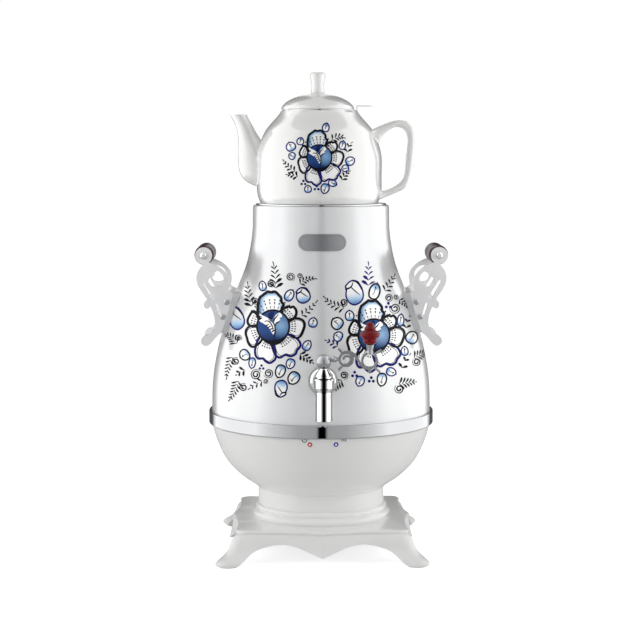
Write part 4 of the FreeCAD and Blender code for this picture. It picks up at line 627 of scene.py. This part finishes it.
def wash(sheet, points, tone, layer=0, rings=5, count=28):
    """A filled closed shape. tone is a hex colour, or gives one from the place, -1 to 1 across and down."""
    edge = ring_points(points, count)
    middle = Vector((sum(p[0] for p in edge) / count, sum(p[1] for p in edge) / count))
    reach = Vector((max(abs(p[0] - middle.x) for p in edge), max(abs(p[1] - middle.y) for p in edge)))

    def drop(spot):
        u, v = (spot.x - middle.x) / reach.x, (spot.y - middle.y) / reach.y
        return dab(sheet, spot.x, spot.y, layer, tone(u, v) if callable(tone) else tone)

    inner, core = None, drop(middle)
    for ring in range(1, rings + 1):
        row = [drop(middle + (Vector(p) - middle) * ring / rings) for p in edge]
        for i in range(count):
            j = (i + 1) % count
            sheet[0].faces.new((core, row[i], row[j]) if inner is None else (inner[i], row[i], row[j], inner[j]))
        inner = row


def outline(sheet, points, width, colour=INK, layer=2, count=28):
    """A stroke of even width round a closed shape."""
    edge = ring_points(points, count)
    brush(sheet, edge + edge[:1], [width, width], colour, layer, steps=1)


def turn_about(x, y, angle, places):
    """Places given along and across a direction (degrees, 0 to the right, 90 up), moved to x, y."""
    c, s = math.cos(math.radians(angle)), math.sin(math.radians(angle))
    return [(x + a * c + b * s, y - a * s + b * c) for a, b in places]


def leaf(sheet, x, y, angle, length, width, bend, colour):
    """One leaf stroke: pressed down at its far end, lifted to a point at its near end."""
    width *= 1.45
    line = turn_about(x, y, angle, [(0, 0), (0.35 * length, bend), (0.75 * length, bend * 0.9), (length, 0)])
    brush(sheet, line, [0.2 * width, 0.55 * width, width, 0.85 * width, 0.25 * width], colour)


def curl(sheet, x, y, radius, start, turns=1.7, width=1.0):
    """A spiral that winds in to a dot."""
    count, width = int(turns * 14), min(1.3, 0.3 * radius) * width
    line = [turn_about(x, y, start + 360 * turns * i / count, [(radius * (1 - 0.86 * i / count) ** 0.8, 0)])[0]
            for i in range(count + 1)]
    brush(sheet, line, [0.35 * width, width, 1.15 * width, 1.3 * width], steps=1)


def sprig(sheet, base, tip, bend, pairs, reach, width=1.25, colour=INK, heavy=0):
    """A feather of leaf strokes along a bent stem. heavy thickens the strokes on one side of its foot."""
    base, tip = Vector(base), Vector(tip)
    along = tip - base
    side = Vector((-along.y, along.x)).normalized() * bend
    heading = math.degrees(math.atan2(-along.y, along.x))
    for i in range(pairs):
        t = i / pairs * 0.86
        spot = base + along * t + side * 4 * t * (1 - t)
        lean = heading - 40 * bend / max(along.length, 1) * (1 - 2 * t) * 4
        size = reach * (1 - 0.62 * t)
        for hand in (-1, 1):
            extra = 1.7 if heavy == hand and i < 2 else 1.0
            leaf(sheet, spot.x, spot.y, lean + hand * (58 - 22 * t), size, width * extra * (1 - 0.35 * t), 0.5 * hand,
                 colour)
    spot = base + along * 0.8 + side * 0.6
    brush(sheet, [spot, (spot + tip) / 2 + Vector((0.4, 0)), tip], [0.5, 0.9, 1.1], colour)


def shares(x, y, width, height, lean, places):
    """Places given in shares of a bud's height and width."""
    return turn_about(x, y, lean, [(a * height, b * width) for a, b in places])


def tipped(lean, blue, pale, middle):
    """A tone from white to blue along lean, blue at the tip (blue 1) or at the foot (blue -1)."""
    c, s = math.cos(math.radians(lean)), -math.sin(math.radians(lean))

    def tone(u, v):
        far = (u * c + v * s) * blue
        if far < middle:
            return blend(CHALK, SKY, (far - pale) / (middle - pale))
        return blend(SKY, COBALT, (far - middle) / (1 - middle))

    return tone


def bud(sheet, x, y, width, height, lean, blue=-1):
    """A bud: an egg with its tip along lean, blue at its tip (blue 1) or at its foot (blue -1)."""
    own = (x, y, width, height, lean)
    egg = shares(*own, [(-0.5, 0), (-0.38, -0.38), (0, -0.5), (0.34, -0.34), (0.5, 0), (0.34, 0.34), (0, 0.5),
                       (-0.38, 0.38)])
    wash(sheet, egg, tipped(lean, blue, 0.1, 0.5), rings=4, count=20)
    outline(sheet, egg, 0.75 + 0.035 * (width + height), NAVY if min(width, height) < 9 else INK, count=22)
    for places, widths in (([(-0.28, -0.1), (0, 0), (0.3, -0.04)], [0.4, 0.8, 0.9]),
                           ([(0.3, -0.04), (0.14, 0.2)], [0.8, 0.4]), ([(0.44, 0), (0.62, 0.08)], [1.4, 0.5])):
        brush(sheet, shares(*own, places), widths)


def tulip(sheet, x, y, width, height, lean):
    """A larger bud with its crown folded open."""
    own = (x, y, width, height, lean)
    cup = shares(*own, [(-0.5, 0), (-0.4, -0.34), (-0.1, -0.5), (0.2, -0.42), (0.3, -0.46), (0.5, -0.06), (0.42, 0.25),
                       (0.1, 0.46), (-0.3, 0.42)])
    wash(sheet, cup, tipped(lean, -1, 0.05, 0.55), count=26)
    outline(sheet, cup, 1.5, NAVY, count=30)
    for places, widths in (([(0.18, -0.5), (0.24, -0.16), (0.42, 0)], [2, 1.4, 0.8]),
                           ([(0.24, -0.16), (0.02, 0.1), (-0.14, 0.3)], [1, 1.1, 0.4]),
                           ([(0.5, -0.06), (0.4, 0.26), (0, 0.49)], [1.2, 2.6, 1.2])):
        brush(sheet, shares(*own, places), widths)


def three_dots(sheet, x, y, size=2.3):
    """Three navy dots in a triangle."""
    for angle in (90, 210, 330):
        a, b = turn_about(x, y, angle, [(0.85 * size, 0)])[0]
        wash(sheet, [(a + size * 0.56 * dx, b + size * 0.56 * dy) for dx, dy in ((1, 0), (0, 1), (-1, 0), (0, -1))],
             NAVY, layer=2, rings=1, count=10)


print("brushes ready")

# %% [markdown]
# ## The rose
#
# Each large flower is one round ball with seven petals behind it. The ball goes from a lit blue to a dark crescent
# below, and two white leaves with dark veins cross it. A petal is white with a scalloped dark edge and rows of dashes
# that fan out from the ball. The rose is drawn once, in units of the ball's radius, and is used three times.

# %% Rose
PETALS = [  # the petal's outline round the ball's middle, its edge colour, and the heading of its dashes
    ([(-0.9, -0.1), (-0.96, -0.66), (-1.2, -0.94), (-1.42, -0.72), (-1.58, -0.36), (-1.52, -0.12), (-1.3, 0)],
     INK, 158),
    ([(-0.9, 0), (-1.36, -0.02), (-1.62, 0.14), (-1.7, 0.42), (-1.62, 0.7), (-1.52, 1.05), (-1.3, 1.26), (-1.08, 1.2),
      (-0.7, 0.8)], INK, 205),
    ([(-0.75, 0.6), (-1.08, 1.28), (-1.1, 1.72), (-0.93, 1.98), (-0.64, 1.98), (-0.44, 2.17), (-0.23, 2.26),
      (-0.02, 2.16), (0.14, 1.98), (0.14, 1.6), (-0.06, 0.9)], NAVY, 254),
    ([(-0.04, 0.9), (0.02, 1.5), (0.24, 1.86), (0.44, 1.92), (0.74, 1.76), (1.08, 1.84), (1.38, 1.7), (1.46, 1.5),
      (1.68, 1.2), (1.64, 0.98), (1.4, 0.7), (0.8, 0.5)], NAVY, 308),
    ([(0.95, -0.35), (1.24, -0.48), (1.6, -0.48), (1.86, -0.34), (1.95, -0.1), (1.86, 0.26), (1.68, 0.6), (1.4, 0.72),
      (0.9, 0.4)], INK, 0),
    ([(0.45, -0.9), (0.74, -1.16), (0.93, -1.24), (1.08, -1.16), (1.24, -1.22), (1.43, -0.98), (1.42, -0.72),
      (1.3, -0.5), (0.95, -0.36)], INK, 42),
]
CROWN = [(-0.8, -0.5), (-0.95, -1.2), (-0.83, -1.76), (-0.7, -1.88), (-0.45, -2.07), (-0.34, -2.15), (-0.13, -2.1),
         (0.1, -2.15), (0.34, -1.94), (0.49, -1.76), (0.52, -1.5), (0.65, -1.35), (0.53, -1.12), (0.5, -0.7)]


def dashes(sheet, x, y, r, squeeze, heading, spread, rows, count):
    """Rows of short strokes that fan out from the middle, longest and darkest far out."""
    for near, far, width in rows:
        for i in range(count):
            angle = heading + spread * (i / (count - 1) - 0.5)
            line = [(x + a * squeeze, y + b) for a, b in turn_about(0, 0, angle, [(near * r, 0), (far * r, 0)])]
            brush(sheet, line, [0.5 * width, 1.4 * width], steps=2)


def rose(sheet, x, y, r, squeeze=1):
    """A whole flower. r is the ball's radius, squeeze narrows it where the wall turns away."""
    def spots(places):
        return [(x + a * r * squeeze, y + b * r) for a, b in places]

    for places, edge, heading in PETALS:
        wash(sheet, spots(places), CHALK, rings=3)
        outline(sheet, spots(places), 0.15 * r, edge, layer=1, count=40)
        middle = Vector((sum(a for a, b in places), sum(b for a, b in places))) / len(places)
        outline(sheet, spots([middle + (Vector(p) - middle) * 0.8 for p in places]), 0.035 * r, layer=1)
        dashes(sheet, x, y, r, squeeze, heading, 26, [(1.1, 1.24, 0.9), (1.3, 1.4, 1.2)], 5)

    def rim(u, v):
        out = math.hypot(u, 1.9 * min(v, 0))
        return blend(CHALK, SKY, (out - 0.46) / 0.2) if out < 0.66 else blend(SKY, "#0d3c78", (out - 0.66) / 0.26)

    wash(sheet, spots(CROWN), rim, rings=8, count=40)
    outline(sheet, spots(CROWN), 0.17 * r, count=44)
    dashes(sheet, x, y, r, squeeze, 98, 92, [(1.08, 1.26, 0.7), (1.36, 1.5, 1.1), (1.58, 1.68, 1.4)], 9)

    ball = [(math.cos(a * math.pi / 8), math.sin(a * math.pi / 8)) for a in range(16)]

    def lit(u, v):
        glow = max(0, 1 - math.hypot(u - 0.5, v + 0.05) / 0.8) * 0.75
        base = blend(DEEP, "#0a2a60", (v - 0.3) / 0.5)
        return [b + (g - b) * glow for b, g in zip(base, linear("#8cc4f0"))]

    wash(sheet, spots(ball), lit, layer=3, rings=8, count=40)
    crescent = [(math.cos(math.radians(d)), math.sin(math.radians(d))) for d in range(8, 173, 11)]
    brush(sheet, spots(crescent), [0.1, 0.16 * r, 0.36 * r, 0.16 * r, 0.1], "#070b22", layer=4, steps=2)
    outline(sheet, spots(ball), 0.115 * r, layer=4, count=48)
    wash(sheet, spots([(-0.2, -0.86), (0.05, -0.9), (0, -0.6), (-0.1, -0.42), (-0.32, -0.62)]),
         lambda u, v: blend("#0b1c58", INK, v), layer=4, rings=2, count=16)
    for places in ([(-0.86, -0.74), (-0.62, -0.66), (-0.3, -0.5), (-0.02, -0.25), (0.08, 0.1), (0.02, 0.5), (-0.1, 0.3),
                    (-0.34, 0), (-0.62, -0.2), (-0.86, -0.36), (-0.7, -0.46)],
                   [(0.42, -0.84), (0.18, -0.72), (0.06, -0.5), (0.08, -0.2), (0.2, -0.14), (0.34, -0.3), (0.44, -0.42),
                    (0.4, -0.5), (0.56, -0.62)]):
        wash(sheet, spots(places), CHALK, layer=5, rings=2, count=24)
    brush(sheet, spots([(0, 0.86), (0.1, 0.5), (0.12, 0.1), (0.02, -0.2), (-0.28, -0.44)]),
          [0.02 * r, 0.09 * r, 0.07 * r, 0.05 * r], "#0a0d2e", layer=6)
    for places, widths in (([(0.13, -0.02), (0.2, -0.2), (0.4, -0.3)], [0.04, 0.09, 0.06]),
                           ([(0.04, -0.3), (0.1, -0.48), (0.22, -0.6), (0.34, -0.78)], [0.08, 0.08, 0.03]),
                           ([(-0.52, -0.26), (-0.42, -0.34), (-0.2, -0.26), (-0.02, 0.06), (0, 0.3)],
                            [0.04, 0.08, 0.05])):
        brush(sheet, spots(places), [w * r for w in widths], layer=6)
    for a, b in ((-0.86, -0.42), (-0.46, -0.02), (-0.32, 0.08), (-0.18, 0.2), (-0.08, 0.34)):
        brush(sheet, spots([(a, b), (a + 0.2, b - 0.12)]), [0.08 * r, 0.05 * r], layer=6, steps=2)


print(len(PETALS) + 1, "petals to a rose")

# %% [markdown]
# ## Throwing the paint on the wall
#
# The sheet is flat until here. Each of its points is now sent from the camera through its picture place to the first
# wall that it meets. A higher layer sits further off the wall, so that crossing strokes don't share a surface. The
# paint keeps its colours at its points, and pale paint gets more of the glaze's shine than black.

# %% Fired on
painted, tree, shader = finish("Cobalt and black enamel, brushed and fired on", "#14145a", 0.4, Specular_IOR_Level=0.1,
                               Coat_Roughness=0.2, Coat_IOR=2.5)
colour = add(tree, "Attribute", attribute_name="paint")
tree.links.new(colour.outputs["Color"], shader.inputs["Base Color"])
shine = add(tree, "RGBToBW", {"Color": colour.outputs["Color"]})
tree.links.new(shine.outputs["Val"], shader.inputs["Coat Weight"])
SKIN, LAYER = 0.05, 0.03  # millimetres from the wall to the first layer, and from layer to layer


def fired_on(name, sheet, wall, node):
    """Send a flat sheet of strokes from the camera onto a piece, whose node's body it rides on."""
    shape = sheet[0]
    surface = BVHTree.FromPolygons([v.co for v in wall.data.vertices], [p.vertices[:] for p in wall.data.polygons])
    turn = camera.rotation_euler.to_quaternion()
    for vert in shape.verts:
        ray = turn @ Vector(((vert.co.x - PICTURE / 2) / FOCAL_PIXELS, (PICTURE / 2 - vert.co.y) / FOCAL_PIXELS, -1))
        spot, normal = surface.ray_cast(camera.location, ray)[:2]
        if spot is None:
            spot, normal = surface.find_nearest(camera.location + ray * camera.location.length)[:2]
        vert.co = spot + normal * (SKIN + LAYER * vert.co.z) * MM
    bmesh.ops.dissolve_degenerate(shape, edges=shape.edges, dist=1e-7)
    for face in shape.faces:
        if face.normal.dot(camera.location - face.calc_center_median()) < 0:
            face.normal_flip()
    mesh = as_mesh(shape, name)
    place(name, mesh, node, painted, 60.0)
    print(name, "painted:", len(mesh.polygons), "faces")


print("first layer", SKIN, "mm off the wall, each later one", LAYER, "mm more")

# %% [markdown]
# ## Flowers on the body
#
# Two roses stand left and right of the tap, each in a wreath of buds, curls, feathers and dots. A painter sets the
# rose first and fills the room round it. A table of rows for each kind of motif does the same: where it is, how large,
# and where it leans. A feather's row has its foot and tip, its bend, its number of pairs and their length.

# %% Left wreath
def wreath(sheet, motifs):
    """Draw each motif once for every row of its table."""
    for motif, rows in motifs.items():
        for row in rows:
            motif(sheet, *row)


sheet = canvas()
rose(sheet, 273.2, 326.4, 16.2)
wreath(sheet, {
    sprig: [((276, 288), (272.7, 261.5), 1, 5, 8.5, 1.3, INK, -1), ((300, 284), (317, 279), -2.5, 5, 5.5),
            ((251.5, 306), (247.4, 281.5), -1, 5, 7.5, 1.25, INK, 1), ((302, 315.5), (317.5, 300), 1, 4, 5.5),
            ((237, 343.5), (224.5, 334.5), 1.5, 5, 7.5), ((232, 357), (226, 380), 1, 6, 6),
            ((244.5, 370), (235.5, 375.6), 0.5, 2, 6, 1.7), ((238, 381), (228.3, 401.3), -1, 6, 7),
            ((262, 381), (247.8, 389.6), 0.5, 3, 6), ((300, 354), (314, 364), -0.5, 4, 6.5, 1.7)],
    curl: [(271.2, 284, 4.3, -60), (290.5, 277, 4.6, -70, 2, 0.8), (299.8, 276, 3, -100),
           (254.8, 301.2, 3.8, -110), (238.4, 338, 3.5, -40), (235.8, 361.2, 4, 60), (243.5, 387.4, 4.2, 55),
           (265.7, 381.2, 2.7, 190), (256, 374.5, 5.6, 20, 2.1, 0.9), (268.6, 373.4, 5, 200, 1.9, 0.9)],
    bud: [(262.6, 286, 7, 9.5, 100), (289.4, 295.3, 8.5, 12, 60), (313, 322.5, 8.5, 9.5, 80),
          (244.6, 355, 11, 9.5, 215), (252.2, 363, 6.5, 10.5, 265), (280.3, 371.3, 9.5, 13, 250),
          (290.4, 363.8, 8.5, 10, 250), (293.6, 378.2, 11, 13, 235), (307, 345.5, 8, 10.5, 60)],
    tulip: [(303.2, 295.3, 14, 15.5, 100), (236.5, 318.2, 15, 23, 105), (280.8, 388.6, 12.5, 17, 262)],
    three_dots: [(261.6, 367.5)]})
fired_on("painted_flowers_left", sheet, body, "upper_body")

# %% [markdown]
# ## The right wreath
#
# No two wreaths on painted ware are alike, so the right one is no mirror image. Its rose is squeezed a little, because
# the wall turns away there.

# %% Right wreath
sheet = canvas()
rose(sheet, 373.9, 335.3, 16.2, 0.97)
wreath(sheet, {
    sprig: [((368, 285.5), (368, 261.5), 0.5, 4, 8, 1.3, NAVY, 1), ((385, 291), (395, 273.5), 0.5, 4, 6.5, 1.3),
            ((344, 308), (323, 296), -2.5, 5, 7, 1.3), ((399, 300), (409, 309.5), -1, 4, 4.5),
            ((406, 328), (410, 315), -0.8, 2, 5.5, 1.7), ((337.5, 346.5), (324.5, 340), 0.8, 3, 5.5, 1.5, NAVY),
            ((341.5, 380), (333.5, 391), 0.5, 4, 7.5, 1.4), ((414, 358), (428.5, 351.5), -0.5, 5, 7.5, 1.4),
            ((402, 368), (411, 353), -1.2, 2, 6, 1.9), ((399, 384), (417, 381.8), -0.5, 5, 7.5, 1.4)],
    curl: [(343.6, 302.6, 4.2, 200), (388.6, 297.8, 4.2, 250, 1.9, 0.9), (395.8, 297.2, 2.8, 250),
           (394.9, 308.4, 5.6, 160, 2, 0.9), (344.2, 375.4, 4.2, 270), (416.6, 362, 4.4, 140),
           (399.2, 389, 4.8, 130)],
    bud: [(374.6, 291.3, 10.5, 16, 75, 1), (349.6, 315.6, 8.6, 10, 95), (337, 323.3, 12, 11.5, 140),
          (338, 336.5, 10, 8.5, 150), (400.6, 320.2, 6.5, 12, 85), (411.9, 337.4, 11.8, 12.4, 62),
          (404.6, 351, 6.8, 9, 95), (360, 381.2, 8.4, 10, 255), (381.8, 379.6, 9.2, 12.8, 265),
          (391.2, 371.9, 8, 9.6, 340)],
    tulip: [(354.4, 292.6, 17.5, 24.5, 98)],
    three_dots: [(388.3, 305.8, 2.8), (354.6, 374.6, 2.8), (371.2, 380, 2.8)]})
fired_on("painted_flowers_right", sheet, body, "upper_body")

# %% [markdown]
# ## The teapot's wreath
#
# The pot has the same rose, a quarter smaller, in a tight ring of buds. It rides with the pot when that is lifted.

# %% Teapot's wreath
sheet = canvas()
rose(sheet, 319.3, 157.3, 12.5)
wreath(sheet, {
    sprig: [((332, 140), (345.5, 138.5), -2.5, 4, 6, 1.2), ((347.5, 152), (352.5, 141.8), -1.5, 2, 5.5, 1.5),
            ((294.5, 171.5), (282.5, 159.5), -1, 4, 5.5, 1.3), ((297.5, 176.5), (285.5, 174.5), 0.8, 3, 5.5, 1.5),
            ((342, 180), (350.5, 170.5), -1.2, 3, 5.5, 1.5)],
    bud: [(325.8, 127.5, 6.6, 8.6, 80, 1), (300.4, 141.2, 6.8, 7.2, 80, 1), (290.8, 146.6, 9.4, 8.6, 120),
          (292, 156, 7, 6.4, 160), (342.4, 145.2, 6.4, 8.6, 80, 1), (350.2, 161, 8.2, 9, 30),
          (345.2, 168.4, 6.8, 7, 200), (308, 189, 6.8, 7, 95), (325, 188.6, 8, 9.8, 255),
          (332.6, 183.2, 6.4, 8.4, 340, 1)],
    three_dots: [(303.4, 183, 2.4), (316.6, 188.2, 2.4)]})
fired_on("painted_flowers_pot", sheet, pot, "teapot_body")

# %% [markdown]
# ## Symbols under the lamps
#
# A small power sign and three short bars are printed on the bowl beside the lamps. Both are common signs, drawn with
# the same brush, since a printed sign is a thin skin too.

# %% Symbols
POWER_X, POWER_Y, BARS_X = 304.5, 440.0, (342.0, 343.9, 345.8)
sheet = canvas()
arc = [turn_about(POWER_X, POWER_Y, a, [(2.3, 0)])[0] for a in range(120, 421, 20)]
brush(sheet, arc, [0.8, 0.8], layer=0, steps=1)
brush(sheet, [(POWER_X, POWER_Y - 3.6), (POWER_X, POWER_Y)], [0.8, 0.8], layer=0, steps=2)
for x in BARS_X:
    brush(sheet, [(x, 436.8), (x + 0.7, 438.3), (x - 0.3, 439.8), (x + 0.4, 441.5)], [0.7, 0.7], layer=0, steps=2)
fired_on("printed_symbols", sheet, bowl, "lower_bowl")

# %% [markdown]
# ## Light
#
# The object stands between two tall softboxes, a little in front of it on either side, which light the flanks more
# than the middle. They don't show in reflections, because the paper round the set, further down, makes those alone.
# The world is plain white to the camera and to reflections, and a softer fill to everything else. Azimuth 0 is the
# viewer's side, and sizes are in metres.

# %% Lamps and world
WIDTH, HEIGHT, DISTANCE, ABOVE_FLOOR, RADIANCE = 0.55, 1.4, 1.5, 0.5, 5.2
for side, azimuth in (("left", -70), ("right", 70)):
    lamp = bpy.data.lights.new(f"softbox_{side}", "AREA")
    lamp.shape = "RECTANGLE"
    lamp.size, lamp.size_y = WIDTH, HEIGHT
    lamp.energy = RADIANCE * WIDTH * HEIGHT * math.pi
    box = new_object(lamp.name, lamp)
    turn = math.radians(azimuth)
    box.location = (DISTANCE * math.sin(turn), -DISTANCE * math.cos(turn), ABOVE_FLOOR)
    box.rotation_euler = (Vector((0, 0, 0.25)) - box.location).to_track_quat("-Z", "Y").to_euler()
    box.visible_glossy = False

FILL = 0.3  # of the white that the camera sees
world = bpy.data.worlds.new("studio")
bpy.context.scene.world = world
world.use_nodes = True
tree = world.node_tree
tree.nodes.clear()
path = add(tree, "LightPath")
seen = path.outputs["Is Camera Ray"]
for ray in ("Is Glossy Ray", "Is Transmission Ray"):
    seen = add(tree, "Math", {0: seen, 1: path.outputs[ray]}, operation="MAXIMUM").outputs[0]
level = add(tree, "MapRange", {"Value": seen, "To Min": FILL, "To Max": 1.0})
sky = add(tree, "Background", {"Color": linear("#ffffff"), "Strength": level.outputs["Result"]})
add(tree, "OutputWorld", {"Surface": sky.outputs["Background"]})

# %% [markdown]
# ## Floor
#
# The floor is a sheet of white paper. To the camera it also glows a little, so that it meets the white background
# without a line, while the shadow of the object still shows on it as less light.

# %% Floor
FLOOR_GLOW = 0.74
bpy.ops.mesh.primitive_plane_add(size=60.0, location=(0, 0, 0))
floor = bpy.context.object
floor.name = "floor"
floor_paper, tree, shader = finish("Backdrop paper, white", "#f4f4f4", 0.9)
path = add(tree, "LightPath")
glow = add(tree, "Math", {0: path.outputs["Is Camera Ray"], 1: FLOOR_GLOW}, operation="MULTIPLY")
shader.inputs["Emission Color"].default_value = linear("#ffffff")
tree.links.new(glow.outputs[0], shader.inputs["Emission Strength"])
floor.data.materials.append(floor_paper)
bpy.context.scene.view_settings.view_transform = "Standard"
print("floor of", tuple(round(s, 1) for s in floor.dimensions), "m")

# %% [markdown]
# ## Paper round the set
#
# A mirror shows the room, and a white room makes chrome look like white paint. So a photographer hangs paper round
# the set. Here one round screen does this, and its grey changes with the azimuth, 0 at the viewer and the same to the
# left and right: a black strip in front, bright sides that show as bands down the enamel and the steel, and dark flags
# from 140 degrees on, which draw a thin dark edge round the white pieces. Only reflections see this screen.

# %% Reflection screen
SCREEN_RADIUS, SCREEN_HEIGHT = 0.7, 1.4
shape = bmesh.new()
edge = [shape.verts.new((SCREEN_RADIUS, 0, z)) for z in (0.0, SCREEN_HEIGHT)]
edge.append(shape.edges.new(edge))
bmesh.ops.spin(shape, geom=edge, cent=(0, 0, 0), axis=(0, 0, 1), angle=math.tau, steps=64, use_merge=True)
screen = new_object("paper_screen", as_mesh(shape, "paper_screen"))
paper = bpy.data.materials.new("Backdrop paper, greys for reflections")
paper.use_nodes = True
tree = paper.node_tree
tree.nodes.clear()
where = add(tree, "TexCoord")
turn = add(tree, "TexGradient", {"Vector": where.outputs["Object"]}, gradient_type="RADIAL")
ramp = add(tree, "ValToRGB", {"Fac": turn.outputs["Fac"]})
stops = ramp.color_ramp.elements
AZIMUTH_GREYS = [(0, 0.0), (3, 0.0), (5, 0.75), (22, 0.85), (50, 1.5), (66, 2.1), (128, 2.1), (140, 0.15), (170, 0.1),
                 (176, 1.0)]
RAMP = sorted({(round(0.25 + side * azimuth / 360, 4) % 1.0, grey) for azimuth, grey in AZIMUTH_GREYS
               for side in (-1, 1)})
for stop, (position, grey) in zip((stops[0], stops[1]), (RAMP[0], RAMP[-1])):
    stop.position, stop.color = position, [grey] * 3 + [1]
for position, grey in RAMP[1:-1]:
    stops.new(position).color = [grey] * 3 + [1]
glow = add(tree, "Emission", {"Color": ramp.outputs["Color"], "Strength": 1.0})
add(tree, "OutputMaterial", {"Surface": glow.outputs["Emission"]})
screen.data.materials.append(paper)
screen.visible_camera = screen.visible_diffuse = screen.visible_shadow = False
screen.visible_transmission = screen.visible_volume_scatter = False
print("greys round the set:", RAMP)
